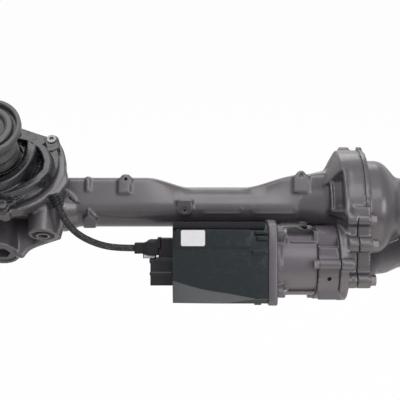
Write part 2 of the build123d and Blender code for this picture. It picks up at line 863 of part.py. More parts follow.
def belt_cover():
    outline = drive_outline(chamber_radius, lobe_radius)
    body = slab(rack_line, outline, seam_x, cover_flange_end)
    body += cover_bolt_bosses(seam_x, cover_flange_end)
    body += rod(rack_line, dome_radius, seam_x, dome_end)
    body += cone(rack_line, dome_radius, neck_radius, dome_end, neck_start)
    body += rod(rack_line, neck_radius, neck_start, right_end)
    body += mounting_arm()
    room = drive_outline(chamber_nut_room, chamber_motor_room)
    body -= slab(rack_line, room, seam_x - 1, nut_bearing_start - lock_ring_width - face_gap)
    body -= rod(rack_line, nut_bearing_radius, seam_x, nut_bearing_start + nut_bearing_width)
    body -= rod(rack_line, nut_radius + 6, nut_bearing_start, nut_end + 3)
    body -= rod(rack_line, neck_bore, nut_end, right_end + 1)
    body -= ring(rack_line, neck_radius + 3, neck_radius - boot_groove, right_end - 12, right_end - 6)
    body -= rod(right_mount, bush_radius, boss_start - 1, boss_face + 1)
    for y, z in cover_bolt_spots():
        body -= rod(rack_line * Pos(y, z, 0), cover_bolt_radius, seam_x - 1, cover_flange_end + 1)
        body -= rod(rack_line * Pos(y, z, 0), bolt_head_radius + 0.5, cover_flange_end, cover_flange_end + 12)
    for y, z in dowel_spots():
        body -= rod(rack_line * Pos(y, z, 0), dowel_radius, seam_x - 1, seam_x + dowel_length / 2)
    return body


def dowels():
    pins = []
    for y, z in dowel_spots():
        line = rack_line * Pos(y, z, 0)
        pins.append(rod(line, dowel_radius - seat_gap, seam_x - dowel_length / 2 + face_gap,
                        seam_x + dowel_length / 2 - face_gap))
    return pins


def cover_bolts():
    bolts = []
    for y, z in cover_bolt_spots():
        line = rack_line * Pos(y, z, 0)
        bolt = rod(line, cover_bolt_radius - seat_gap, chamber_front + 4, cover_flange_end)
        bolt += rod(line, bolt_head_radius, cover_flange_end, cover_flange_end + 1.5)
        bolt += slab(line, RegularPolygon(5.0, 6, major_radius=False), cover_flange_end + 1.5,
                     cover_flange_end + 6)
        bolts.append(bolt)
    return bolts


# Ball nut, its balls, bearing, lock ring and pulley

ball_start = (nut_start + nut_end - screw_lead * ball_turns) / 2


def ball_nut():
    body = rod(rack_line, nut_radius, nut_start, nut_end)
    body += rod(rack_line, nut_shoulder, nut_bearing_start - 3, nut_bearing_start - seat_gap)
    body += rod(rack_line, nut_bearing_bore - seat_gap, nut_bearing_start - 3,
                nut_bearing_start + nut_bearing_width)
    body -= rod(rack_line, rack_radius + 0.5, nut_start - 1, nut_end + 1)
    body -= ball_groove(ball_start - screw_lead / 2, ball_start + screw_lead * (ball_turns + 0.5), groove_radius)
    return body


def nut_balls():
    balls = []
    for index in range(ball_turns * balls_per_turn):
        x = ball_start + screw_lead * index / balls_per_turn
        angle = screw_angle(x)
        outward = Vector(0, math.cos(angle), math.sin(angle))
        spot = Plane(origin=Vector(x, 0, 0) + outward * ball_circle, z_dir=outward)
        balls.append(spot * Sphere(ball_radius))
    return balls


nut_track = (nut_bearing_radius + nut_bearing_bore) / 2
nut_track_ball = (nut_bearing_radius - nut_bearing_bore) * 0.28


def nut_bearing_outer():
    return bearing_outer(rack_line, nut_bearing_radius - seat_gap, nut_track, nut_bearing_start,
                         nut_bearing_width - seat_gap, nut_track_ball)


def nut_bearing_inner():
    return bearing_inner(rack_line, nut_bearing_bore, nut_track, nut_bearing_start, nut_bearing_width - seat_gap,
                         nut_track_ball)


def nut_bearing_balls():
    return bearing_balls(rack_line, nut_track, nut_bearing_start, nut_bearing_width - seat_gap, nut_track_ball, 20)


def bearing_lock_ring():
    end = nut_bearing_start - seat_gap
    return ring(rack_line, nut_bearing_radius - seat_gap, nut_bearing_radius - 5, end - lock_ring_width, end)


def pulley_tip(teeth):
    return belt_pitch * teeth / (2 * math.pi) - belt_line_drop


def pulley_outline(teeth):
    """A toothed pulley's outline: a round tip circle with a trapezoid groove for each tooth."""
    tip = pulley_tip(teeth)
    root = tip - belt_tooth_depth
    points = []
    for index in range(teeth):
        for share, radius in ((0.14, root), (0.34, root), (0.46, tip), (1.02, tip)):
            turn = 2 * math.pi * (index + share) / teeth
            points.append((radius * math.cos(turn), radius * math.sin(turn)))
    return polygon(points)


pulley_start = belt_x - pulley_width / 2
pulley_end = belt_x + pulley_width / 2


def nut_pulley():
    body = slab(rack_line, pulley_outline(nut_pulley_teeth), pulley_start, pulley_end)
    body -= rod(rack_line, nut_radius + seat_gap, pulley_start - 1, pulley_end + 1)
    for start, end in ((pulley_start - 1, pulley_start + 4), (pulley_end - 4, pulley_end + 1)):
        body -= ring(rack_line, nut_radius + 10, nut_radius + 4, start, end)
    return body


def motor_pulley():
    body = slab(motor_line, pulley_outline(motor_pulley_teeth), pulley_start, pulley_end)
    return body - rod(motor_line, motor_shaft_radius + seat_gap, pulley_start - 1, pulley_end + 1)


def drive_belt():
    nut_side = pulley_tip(nut_pulley_teeth) + belt_gap
    motor_side = pulley_tip(motor_pulley_teeth) + belt_gap
    start = belt_x - belt_width / 2
    end = belt_x + belt_width / 2
    outer = slab(rack_line, drive_outline(nut_side + belt_thickness, motor_side + belt_thickness), start, end)
    return outer - slab(rack_line, drive_outline(nut_side, motor_side), start - 1, end + 1)


# Motor

def motor_housing():
    body = rod(motor_line, motor_radius, motor_start, motor_end)
    for x, y in unit_bolt_spots:
        arm = Pos(x / 2, y / 2) * Rot(0, 0, math.degrees(math.atan2(y, x))) * Rectangle(math.hypot(x, y), 11)
        body += slab(unit_line, arm + Pos(x, y) * Circle(5.5), motor_start, motor_start + motor_ear_depth)
    body -= rod(motor_line, motor_radius - motor_wall, motor_start + 4, motor_end + 1)
    cup = ring(motor_line, motor_bearing_radius + 3, motor_bearing_radius, motor_start + 2,
               rear_bearing_start + motor_bearing_width)
    body += cup
    body -= rod(motor_line, motor_bearing_radius - 3, motor_start - 1, motor_start + 5)
    for line in unit_bolt_lines():
        body -= rod(line, small_screw_radius, motor_start - 1, motor_start + motor_ear_depth + 1)
    return body


def motor_end_shield():
    body = rod(motor_line, shield_radius, motor_end, motor_face)
    for line in motor_bolt_lines():
        body += rod(line, motor_lug_radius, motor_end, motor_face)
    body -= rod(motor_line, shield_room, motor_end - 1, front_bearing_start - 3)
    body -= rod(motor_line, motor_bearing_radius, front_bearing_start - 4, front_bearing_start + motor_bearing_width)
    body -= rod(motor_line, motor_bearing_radius - 4, front_bearing_start, motor_face + 1)
    body += ring(motor_line, spigot_radius - seat_gap, motor_bearing_radius - 4, motor_face - 0.5,
                 motor_face + chamber_wall - 0.5)
    for line in motor_bolt_lines():
        body -= rod(line, motor_bolt_radius, motor_end - 1, motor_face + 1)
    return body


def motor_bolts():
    bolts = []
    for line in motor_bolt_lines():
        bolt = rod(line, motor_bolt_radius - seat_gap, motor_end, motor_face + motor_bolt_depth - 1)
        bolt += rod(line, 4.8, motor_end - 1.2, motor_end)
        bolt += slab(line, RegularPolygon(4.0, 6, major_radius=False), motor_end - 5, motor_end - 1.2)
        bolts.append(bolt)
    return bolts


stator_outer = motor_radius - motor_wall - seat_gap
slot_outer = stator_outer - 3.5


def stator_core():
    end = stator_start + stator_length
    core = ring(motor_line, stator_outer, stator_inner, stator_start, end)
    slot_depth = slot_outer - stator_inner - 1.6
    slot = Box(slot_depth, 5.2, stator_length + 2, align=(Align.MIN, Align.CENTER, Align.MIN))
    mouth = Box(4, 1.6, stator_length + 2, align=(Align.MIN, Align.CENTER, Align.MIN))
    for turn in range(stator_slots):
        place = motor_line * Pos(0, 0, stator_start - 1) * Rot(0, 0, 360 * turn / stator_slots)
        core -= place * Pos(stator_inner + 1.6, 0, 0) * slot
        core -= place * Pos(stator_inner - 1.6, 0, 0) * mouth
    return core


def stator_coils():
    """The windings: a bar in each slot, joined by a ring at each end."""
    end = stator_start + stator_length
    inner = stator_inner + 1.6 + face_gap
    outer = slot_outer - face_gap
    length = stator_length + 2 * coil_overhang
    coils = ring(motor_line, outer, inner, stator_start - coil_overhang, stator_start - face_gap)
    coils += ring(motor_line, outer, inner, end + face_gap, end + coil_overhang)
    bar = Box(outer - inner, 4.6, length, align=(Align.MIN, Align.CENTER, Align.MIN))
    for turn in range(stator_slots):
        place = motor_line * Pos(0, 0, stator_start - coil_overhang) * Rot(0, 0, 360 * turn / stator_slots)
        coils += place * Pos(inner, 0, 0) * bar
    return coils


def rotor_core():
    return ring(motor_line, rotor_radius, motor_shaft_radius + seat_gap, stator_start, stator_start + stator_length)


def rotor_magnets():
    sector = 360 / magnet_count
    tile = ring(motor_line, rotor_radius + magnet_thickness, rotor_radius + seat_gap, stator_start + 0.5,
                stator_start + stator_length - 0.5)
    half = math.radians(sector * 0.42)
    reach = rotor_radius + 8
    wedge = polygon([(0, 0), (reach * math.cos(half), -reach * math.sin(half)),
                     (reach * math.cos(half), reach * math.sin(half))])
    magnets = []
    for index in range(magnet_count):
        cutter = slab(motor_line * Rot(0, 0, index * sector), wedge, stator_start, stator_start + stator_length)
        magnets.append(tile & cutter)
    return magnets


def motor_shaft():
    body = rod(motor_line, motor_shaft_radius, rear_bearing_start - 1, pulley_end + 0.3)
    body += rod(motor_line, 4.0, rear_bearing_start - 4, rear_bearing_start)
    body += rod(motor_line, motor_shaft_radius + 2, front_bearing_start - 3, front_bearing_start - seat_gap)
    body += rod(motor_line, motor_shaft_radius + 2, rear_bearing_start + motor_bearing_width + seat_gap,
                stator_start - seat_gap)
    return body


motor_track = (motor_bearing_radius + motor_shaft_radius) / 2
motor_track_ball = (motor_bearing_radius - motor_shaft_radius) * 0.28
motor_bearing_starts = (rear_bearing_start, front_bearing_start)


def motor_bearing_outers():
    return [bearing_outer(motor_line, motor_bearing_radius - seat_gap, motor_track, start,
                          motor_bearing_width - seat_gap, motor_track_ball) for start in motor_bearing_starts]


def motor_bearing_inners():
    return [bearing_inner(motor_line, motor_shaft_radius + seat_gap, motor_track, start,
                          motor_bearing_width - seat_gap, motor_track_ball) for start in motor_bearing_starts]


def motor_bearing_balls():
    balls = []
    for start in motor_bearing_starts:
        balls += bearing_balls(motor_line, motor_track, start, motor_bearing_width - seat_gap,
                               motor_track_ball, 9)
    return balls


# Control unit: its flange, cover, board and connectors. Its Y runs up its front face.

unit_line = Plane(motor_line.location * Rot(0, 0, -unit_roll))
crease_high = 12.9
crease_low = 2.8


def unit_outline(grow=0.0):
    half = unit_half + grow
    low = -unit_low - grow
    points = [(-half + 4.6, half - 4.6), (-half, crease_high), (-half, crease_low), (-half + 1.6, -15),
              (-half + 8.6, low + 8.6), (-20, low), (20, low), (half - 6, low + 7), (half, -15), (half, 24),
              (10, half), (-18, half)]
    return polygon(points)


unit_bolt_spots = ((-30.0, -29.0), (31.0, -28.0), (30.0, 24.0), (-32.0, 33.0))


def unit_bolt_lines():
    return [unit_line * Pos(x, y, 0) for x, y in unit_bolt_spots]


def unit_flange():
    body = slab(unit_line, unit_outline(2.0), unit_end, motor_start)
    body -= slab(unit_line, unit_outline(-unit_wall - 4), unit_end - 1, unit_end + 3)
    for line in unit_bolt_lines():
        body -= rod(line, small_screw_radius, unit_end - 1, motor_start + 1)
    return body - rod(motor_line, motor_bearing_radius - 4, unit_end, motor_start + 1)


def unit_cover():
    body = slab(unit_line, unit_outline(), unit_start, unit_end)
    room = slab(unit_line, unit_outline(-unit_wall), unit_start + unit_wall, unit_end + 1)
    body -= room
    for line in unit_bolt_lines():
        body += rod(line, 5.0, unit_end - 12, unit_end)
        body -= rod(line, small_screw_radius, unit_end - 10, unit_end + 1)
    body -= slab(unit_line, header_outline(0), unit_start - 1, unit_start + unit_wall + 1)
    return body


def unit_screws():
    screws = []
    for line in unit_bolt_lines():
        screw = rod(line, small_screw_radius - seat_gap, unit_end - 8, motor_start + motor_ear_depth)
        screw += rod(line, small_screw_head, motor_start + motor_ear_depth,
                     motor_start + motor_ear_depth + 3)
        screws.append(screw)
    return screws


board_x = unit_end - 13.5
board_thickness = 1.6
capacitor_radius = 8.0
capacitor_height = 26.0


def circuit_board():
    board = slab(unit_line, unit_outline(-unit_wall - 4), board_x, board_x + board_thickness)
    for line in unit_bolt_lines():
        board -= rod(line, 6.0, board_x - 1, board_x + board_thickness + 1)
    return board


capacitor_spots = ((-20, 12), (-20, -8), (-2, 14), (-2, -8), (16, 12), (16, -8))


def capacitors():
    cans = []
    for x, y in capacitor_spots:
        line = unit_line * Pos(x, y, 0)
        cans.append(rod(line, capacitor_radius, board_x - capacitor_height, board_x - face_gap))
    return cans


def board_posts():
    """Four posts that carry the board on the flange."""
    posts = []
    for x, y in ((-24, 20), (20, 26), (-20, -26), (20, -26)):
        posts.append(rod(unit_line * Pos(x, y, 0), 3.0, board_x + board_thickness, unit_end + 3))
    return posts


# Power header on the control unit's end, with the socket for the sensor's plug above it

header_depth = 23.5
header_half_width = 25.0
header_low = -23.0
header_high = 4.0
plug_socket_high = 25.3
plug_socket_depth = 15.5
plug_socket_half_width = 13.0
header_inside = 3.0


def header_outline(grow):
    lower = Pos(0, (header_low + header_high) / 2) * Rectangle(
        2 * (header_half_width + grow), header_high - header_low + 2 * grow)
    upper = Pos(0, (header_high + plug_socket_high) / 2) * Rectangle(
        2 * (plug_socket_half_width + grow), plug_socket_high - header_high + 2 * grow)
    return lower + upper


def power_header():
    lower = Pos(0, (header_low + header_high) / 2)
    height = header_high - header_low
    body = slab(unit_line, lower * Rectangle(2 * header_half_width, height), unit_start - header_depth, unit_start)
    socket_middle = (header_high + plug_socket_high) / 2
    socket_height = plug_socket_high - header_high
    upper = Pos(0, socket_middle)
    body += slab(unit_line, upper * Rectangle(2 * plug_socket_half_width, socket_height),
                 unit_start - plug_socket_depth, unit_start)
    body += slab(unit_line, header_outline(-seat_gap), unit_start - 0.5, unit_start + header_inside)
    opening = lower * Rectangle(2 * header_half_width - 5, height - 5)
    body -= slab(unit_line, opening, unit_start - header_depth - 1, unit_start - 3)
    opening = upper * Rectangle(plug_width + 2 * face_gap, plug_height + 2 * face_gap)
    body -= slab(unit_line, opening, unit_start - plug_socket_depth - 1, unit_start - 3)
    body += slab(unit_line, lower * Rectangle(3, height - 4), unit_start - header_depth + 4, unit_start - 2)
    return body


def header_pins():
    """Blades for power and pins for signals, through the header's floor."""
    middle = (header_low + header_high) / 2
    pins = []
    for x in (-14.0, -7.0, 7.0, 14.0):
        blade = Pos(x, middle) * Rectangle(1.2, 9.0)
        pins.append(slab(unit_line, blade, unit_start - header_depth + 6, unit_start - 3 - seat_gap))
    socket_middle = (header_high + plug_socket_high) / 2
    for x in (-4.5, -1.5, 1.5, 4.5):
        pin = Pos(x, socket_middle) * Rectangle(0.8, 0.8)
        pins.append(slab(unit_line, pin, unit_start - plug_socket_depth + 5, unit_start - 3 - seat_gap))
    return pins


plug_length = 26.5
plug_height = 11.5
plug_width = 17.0


def plug_line():
    return unit_line * Pos(0, (header_high + plug_socket_high) / 2, unit_start)


def sensor_plug():
    """The plug at the cable's end: a narrow body in the socket and a wider back outside it."""
    line = plug_line()
    nose = Rectangle(plug_width, plug_height)
    body = slab(line, nose, -plug_socket_depth - 1, -plug_socket_depth + 4.5)
    body += slab(line, Rectangle(plug_width + 5, plug_height + 3), -plug_socket_depth - 13,
                 -plug_socket_depth - seat_gap)
    body += slab(line, Rectangle(plug_width - 3, plug_height), -plug_socket_depth - plug_length + 1,
                 -plug_socket_depth - 13)
    latch = Pos(0, plug_height / 2 + 2.2) * Rectangle(7, 3)
    return body + slab(line, latch, -plug_socket_depth - 10, -plug_socket_depth - 1)


# Cable from the sensor cover's strain relief to the plug, held at both ends

def plug_back():
    """Where the cable enters the plug."""
    spot = plug_line() * Pos(0, 0, -plug_socket_depth - plug_length + 1 - seat_gap)
    return tuple(spot.position)


cable_route = [
    (-146.6, -56.4, 24.4), (-144.3, -57.2, 17.9), (-140.2, -57.6, 9.3), (-131.4, -58.2, -3.4),
    (-118.3, -57.8, -13.2), (-102.5, -52.4, -22.6), (-85.5, plug_back()[1], plug_back()[2]), plug_back()]


def corner_radii(points):
    radii = []
    for before, corner, after in zip(points, points[1:], points[2:]):
        run_in = Vector(*corner) - Vector(*before)
        run_out = Vector(*after) - Vector(*corner)
        half_turn = math.radians(run_in.get_angle(run_out) / 2)
        radii.append(0.45 * min(run_in.length, run_out.length) / math.tan(half_turn))
    return radii


def cable_path():
    radii = corner_radii(cable_route)
    print("cable radii", [round(radius, 1) for radius in radii])
    return FilletPolyline(*cable_route, radius=radii)


def sensor_cable():
    path = cable_path()
    section = Plane(origin=path @ 0, z_dir=path % 0) * Circle(cable_radius)
    cable = sweep(section, path=path)
    print("cable volume", cable.volume, math.pi * cable_radius ** 2 * path.length)
    return cable


relief_length = 13.0


def relief_line():
    start = Vector(*cable_route[0])
    along = Vector(*cable_route[1]) - start
    return Plane(origin=start, z_dir=along)


def strain_relief():
    """A ribbed boot on the cable's first stretch, out of the side of the tower's flange."""
    body = rod(relief_line(), cable_radius + 1.4, -relief_length, -seat_gap)
    for index in range(4):
        low = -relief_length + 1 + index * 3.4
        body += rod(relief_line(), cable_radius + 2.6, low, low + 1.7)
    return body


# Sensor cover and sealing collar

def sensor_cover():
    body = slab(pinion_line, flange_outline(cover_plate_radius), tower_flange_end,
                tower_flange_end + cover_plate)
    for x, y in sensor_screw_spots():
        body += slab(pinion_line, Pos(x, y) * Circle(7.5), tower_flange_end, tower_flange_end + cover_plate)
    plate_top = tower_flange_end + cover_plate
    lip_line = pinion_line * Pos(cover_lip_shift, 0, 0)
    lip = ring(lip_line, cover_lip_radius, cover_lip_radius - cover_wall, plate_top - 1, cover_lip_top)
    deck = Pos(cover_lip_shift, 0) * Circle(cover_lip_radius) - Pos(0, -26) * Rectangle(200, 80)
    body += lip + slab(pinion_line, deck, plate_top - 1, cover_lip_top)
    cut_back = polygon([(-150, 106), (150, -14), (150, 200), (-150, 200)])
    body -= slab(pinion_line, cut_back, plate_top, cover_lip_top + 1)
    shoe_line = pinion_line * Pos(horseshoe_shift, 0, 0)
    shoe = ring(shoe_line, horseshoe_outer, horseshoe_inner, plate_top - 1, horseshoe_top)
    back = polygon([(-80, 9), (38, 9), (80, -19), (80, 90), (-80, 90)])
    body += shoe - slab(shoe_line, back, plate_top, horseshoe_top + 1)
    body -= rod(pinion_line, cover_throat, tower_flange_end - 1, plate_top + 1)
    body -= rod(pinion_line, collar_foot + 1.5, plate_top, horseshoe_top + 1)
    for x, y in sensor_screw_spots():
        body -= slab(pinion_line, Pos(x, y) * Circle(small_screw_radius), tower_flange_end - 1, plate_top + 1)
    return body


def sensor_cover_screws():
    screws = []
    top = tower_flange_end + cover_plate
    for x, y in sensor_screw_spots():
        line = pinion_line * Pos(x, y, 0)
        screw = rod(line, small_screw_radius - seat_gap, tower_flange_end - 9, top)
        screw += rod(line, 5.0, top, top + 3.5)
        screw -= slab(line, RegularPolygon(2.6, 6), top + 1.2, top + 4)
        screws.append(screw)
    return screws


def sealing_collar():
    """A turned rubber collar: a foot on the cover, two bellows folds and a wide double lip."""
    foot = tower_flange_end + cover_plate + seat_gap
    fold = collar_foot - 4
    outline = [
        (cover_throat + 1, foot), (collar_foot, foot), (collar_foot, foot + 4), (fold, foot + 8),
        (collar_foot, foot + 15), (fold, foot + 21), (collar_foot - 1, foot + 28), (fold, foot + 34),
        (fold + 1, collar_top - 20), (collar_rim, collar_top - 7), (collar_rim, collar_top),
        (collar_rim - 4.2, collar_top), (collar_groove + 1.5, collar_top - 8), (collar_groove, collar_top - 2),
        (collar_mouth + 2, collar_top - 1), (collar_mouth, collar_top - 5), (collar_mouth + 0.5, collar_top - 20),
        (fold - 2, foot + 34), (collar_foot - 3.5, foot + 28), (fold - 2.5, foot + 21),
        (collar_foot - 2.5, foot + 15), (fold - 2.5, foot + 8), (cover_throat + 1, foot + 4)]
    section = Plane(origin=pinion_line.origin, x_dir=pinion_line.x_dir, z_dir=pinion_line.y_dir) * polygon(
        [(radius, -height) for radius, height in outline])
    return revolve(section, axis=Axis(pinion_line.origin, pinion_line.z_dir))


# Mount bushes: a steel sleeve in a rubber ring, in each boss

def mount_lines():
    return (left_mount, outer_mount, right_mount)


def mount_sleeves():
    return [ring(line, sleeve_radius, sleeve_bore, boss_start - 0.5, boss_face + 0.5) for line in mount_lines()]


def mount_rubbers():
    return [ring(line, bush_radius - seat_gap, sleeve_radius + seat_gap, boss_start + 1, boss_face - 1)
            for line in mount_lines()]


sub_parts = {
    "rack_housing": rack_housing,
    "belt_cover": belt_cover,
    "cover_bolts": cover_bolts,
    "dowels": dowels,
    "rack_bar": rack_bar,
    "rack_bush": rack_bush,
    "pinion": pinion,
    "torsion_bar": torsion_bar,
    "input_shaft": input_shaft,
    "sensor_magnet": sensor_magnet,
    "sensor_stator": sensor_stator,
    "input_seal": input_seal,
    "pinion_bearing_outer": pinion_bearing_outer,
    "pinion_bearing_inner": pinion_bearing_inner,
    "pinion_bearing_balls": pinion_bearing_balls,
    "pinion_lower_bearing": pinion_lower_bearing,
    "pinion_cap": pinion_cap,
    "yoke": yoke,
    "yoke_liner": yoke_liner,
    "yoke_o_ring": yoke_o_ring,
    "yoke_spring": yoke_spring,
    "yoke_adjuster": yoke_adjuster,
    "ball_nut": ball_nut,
    "nut_balls": nut_balls,
    "nut_bearing_outer": nut_bearing_outer,
    "nut_bearing_inner": nut_bearing_inner,
    "nut_bearing_balls": nut_bearing_balls,
    "bearing_lock_ring": bearing_lock_ring,
    "nut_pulley": nut_pulley,
    "motor_pulley": motor_pulley,
    "drive_belt": drive_belt,
    "motor_housing": motor_housing,
    "motor_end_shield": motor_end_shield,
    "motor_bolts": motor_bolts,
    "stator_core": stator_core,
    "stator_coils": stator_coils,
    "rotor_core": rotor_core,
    "rotor_magnets": rotor_magnets,
    "motor_shaft": motor_shaft,
    "motor_bearing_outers": motor_bearing_outers,
    "motor_bearing_inners": motor_bearing_inners,
    "motor_bearing_balls": motor_bearing_balls,
    "control_unit_flange": unit_flange,
    "control_unit_cover": unit_cover,
    "control_unit_screws": unit_screws,
    "circuit_board": circuit_board,
    "board_posts": board_posts,
    "capacitors": capacitors,
    "power_header": power_header,
    "header_pins": header_pins,
    "sensor_plug": sensor_plug,
    "sensor_cable": sensor_cable,
    "strain_relief": strain_relief,
    "sensor_cover": sensor_cover,
    "sensor_cover_screws": sensor_cover_screws,
    "sealing_collar": sealing_collar,
    "mount_sleeves": mount_sleeves,
    "mount_rubbers": mount_rubbers,
}

os.makedirs("parts", exist_ok=True)
for name, make in sub_parts.items():
    made = make()
    solids = made if isinstance(made, list) else [made]
    moved = [solid.moved(frame_shift) for solid in solids]
    part = moved[0] if len(moved) == 1 else Compound(children=moved)
    part.label = name
    export_step(part, "parts/" + name + ".step")
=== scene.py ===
import json
import math

import bmesh
import bpy
from mathutils import Matrix, Vector


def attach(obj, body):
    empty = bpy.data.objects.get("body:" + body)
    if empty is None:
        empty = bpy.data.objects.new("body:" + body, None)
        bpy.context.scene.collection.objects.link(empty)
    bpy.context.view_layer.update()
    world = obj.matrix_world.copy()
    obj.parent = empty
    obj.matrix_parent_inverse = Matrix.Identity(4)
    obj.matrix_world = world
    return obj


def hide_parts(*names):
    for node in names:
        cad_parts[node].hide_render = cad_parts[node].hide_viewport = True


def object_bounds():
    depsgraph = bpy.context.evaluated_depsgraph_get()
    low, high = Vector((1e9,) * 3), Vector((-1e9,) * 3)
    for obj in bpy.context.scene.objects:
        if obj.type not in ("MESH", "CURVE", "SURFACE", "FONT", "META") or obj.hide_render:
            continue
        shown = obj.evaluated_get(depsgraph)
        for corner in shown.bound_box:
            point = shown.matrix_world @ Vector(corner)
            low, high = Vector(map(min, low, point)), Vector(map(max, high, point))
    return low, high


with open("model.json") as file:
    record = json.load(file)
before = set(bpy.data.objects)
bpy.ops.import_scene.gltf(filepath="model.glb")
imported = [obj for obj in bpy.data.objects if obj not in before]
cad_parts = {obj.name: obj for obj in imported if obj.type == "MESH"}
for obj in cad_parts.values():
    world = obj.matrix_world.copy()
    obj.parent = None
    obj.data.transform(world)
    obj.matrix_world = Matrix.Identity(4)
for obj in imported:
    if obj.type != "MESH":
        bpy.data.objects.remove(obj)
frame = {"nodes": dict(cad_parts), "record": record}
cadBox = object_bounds()
nodes = frame["nodes"]
print("frame loaded:", len(nodes), "nodes")

# Lengths are millimetres from the rack's axis, x along the rack and z up. This is where that axis lies in the frame
rackShift = Vector((164.0, 36.3453, -12.3037))

viewCamera = {"elevation": 22.0, "distance": 1000.0, "rise": 7.7, "frameWidth": 440.0, "sensor": 36.0,
              "nearest": 0.05, "furthest": 30.0}


def toMetres(point):
    return (Vector(point) + rackShift) / 1000


def addCamera(size):
    tilt = math.radians(size["elevation"])
    up = Vector((0, math.sin(tilt), math.cos(tilt)))
    towards = Vector((0, -math.cos(tilt), math.sin(tilt)))
    data = bpy.data.cameras.new("viewCamera")
    data.sensor_width = size["sensor"]
    data.lens = size["sensor"] * size["distance"] / size["frameWidth"]
    data.clip_start = size["nearest"]
    data.clip_end = size["furthest"]
    camera = bpy.data.objects.new("viewCamera", data)
    camera.location = toMetres(up * size["rise"] + towards * size["distance"])
    camera.rotation_euler = (math.pi / 2 - tilt, 0, 0)
    bpy.context.collection.objects.link(camera)
    bpy.context.scene.camera = camera


addCamera(viewCamera)


# Shader sums are written as expressions on wires
class Wire:
    def __init__(self, look, socket):
        self.look = look
        self.socket = socket

    def sum(self, operation, first, second):
        return self.look.add("Math", {"operation": operation}, {0: first, 1: second})

    def __add__(self, other):
        return self.sum("ADD", self, other)

    __radd__ = __add__

    def __mul__(self, other):
        return self.sum("MULTIPLY", self, other)

    __rmul__ = __mul__


# The nodes of a material or of the world
class Look:
    def __init__(self, owner):
        owner.use_nodes = True
        self.owner = owner
        self.tree = owner.node_tree

    def put(self, socket, value):
        if isinstance(value, Wire):
            self.tree.links.new(value.socket, socket)
        elif isinstance(value, (tuple, list)) and socket.type == "RGBA" and len(value) == 3:
            socket.default_value = (*value, 1.0)
        else:
            socket.default_value = value

    def add(self, kind, settings=None, inputs=None, output=0):
        made = self.tree.nodes.new("ShaderNode" + kind)
        for key, value in (settings or {}).items():
            setattr(made, key, value)
        for key, value in (inputs or {}).items():
            self.put(made.inputs[key], value)
        return Wire(self, made.outputs[output])

    def spot(self):
        return self.add("TexCoord", output="Object")

    def noise(self, size, detail=3.0, rough=0.55, where=None):
        where = where or self.spot()
        return self.add("TexNoise", {}, {"Vector": where, "Scale": 1000 / size, "Detail": detail,
                                         "Roughness": rough})

    def blend(self, amount, first, second):
        return self.add("Mix", {"data_type": "RGBA"}, {0: amount, 6: first, 7: second}, output=2)

    def fit(self, value, low, high, newLow, newHigh):
        return self.add("MapRange", {}, {0: value, 1: low, 2: high, 3: newLow, 4: newHigh})

    def bump(self, height, distance, strength=1.0):
        return self.add("Bump", {}, {"Height": height, "Distance": distance / 1000, "Strength": strength})

    def set(self, **values):
        names = {"colour": "Base Color", "rough": "Roughness", "metal": "Metallic", "coat": "Coat Weight",
                 "coatRough": "Coat Roughness", "normal": "Normal", "specular": "Specular IOR Level"}
        for key, value in values.items():
            self.put(self.tree.nodes["Principled BSDF"].inputs[names[key]], value)
        return self.owner


def newLook(name):
    return Look(bpy.data.materials.new(name))


# Finishes: grain and lump are sizes in millimetres, and dust is how fine the dust is broken up
castFinish = {"colour": (0.075, 0.067, 0.075), "dark": (0.05, 0.044, 0.05), "pale": (0.125, 0.117, 0.125),
              "grain": 0.55, "lump": 9.0, "rough": 0.34, "metal": 0.35, "coat": 0.3}


def castLook(name, finish):
    look = newLook(name)
    cloud = look.noise(finish["lump"] * 3, 4.0)
    grain = look.noise(finish["grain"], 2.0, 0.7)
    lump = look.noise(finish["lump"], 3.0)
    stain = look.fit(look.noise(60.0, 5.0, 0.6), 0.52, 0.68, 0.0, 0.35)
    base = look.blend(look.fit(cloud, 0.35, 0.65, 0.0, 0.5), finish["colour"], finish["dark"])
    base = look.blend(look.fit(grain, 0.5, 0.75, 0.0, 0.35), base, finish["pale"])
    base = look.blend(stain, base, finish["dark"])
    height = grain * 0.5 + lump * 0.5
    return look.set(colour=base, rough=look.fit(grain, 0.3, 0.7, finish["rough"] - 0.07, finish["rough"] + 0.1),
                    metal=finish["metal"], normal=look.bump(height, 0.25, 0.35), coat=finish["coat"], coatRough=0.14)


machinedFinish = {"colour": (0.36, 0.36, 0.37), "dark": (0.25, 0.25, 0.26), "rough": 0.34, "metal": 0.9}


def machinedLook(name, finish):
    look = newLook(name)
    where = look.spot()
    stretched = look.add("Mapping", {}, {"Vector": where, "Scale": (0.15, 1.0, 1.0)})
    lines = look.noise(0.35, 2.0, 0.6, stretched)
    cloud = look.noise(14.0, 3.0)
    base = look.blend(look.fit(cloud, 0.35, 0.7, 0.0, 0.6), finish["colour"], finish["dark"])
    return look.set(colour=base, metal=finish["metal"],
                    rough=look.fit(lines, 0.3, 0.7, finish["rough"] - 0.06, finish["rough"] + 0.12),
                    normal=look.bump(lines, 0.05, 0.3))


plasticFinish = {"colour": (0.009, 0.0085, 0.012), "pale": (0.022, 0.021, 0.027), "grain": 0.4, "rough": 0.42,
                 "bump": 0.06, "shine": 0.3, "dust": 6.0}


def plasticLook(name, finish):
    look = newLook(name)
    grain = look.noise(finish["grain"], 2.0, 0.6)
    dust = look.fit(look.noise(7.0, finish["dust"], 0.7), 0.5, 0.75, 0.0, 0.6)
    base = look.blend(dust, finish["colour"], finish["pale"])
    return look.set(colour=base, rough=look.fit(dust, 0.0, 0.6, finish["rough"], finish["rough"] + 0.15),
                    normal=look.bump(grain, finish["bump"], 0.4), metal=0.0, specular=finish["shine"])


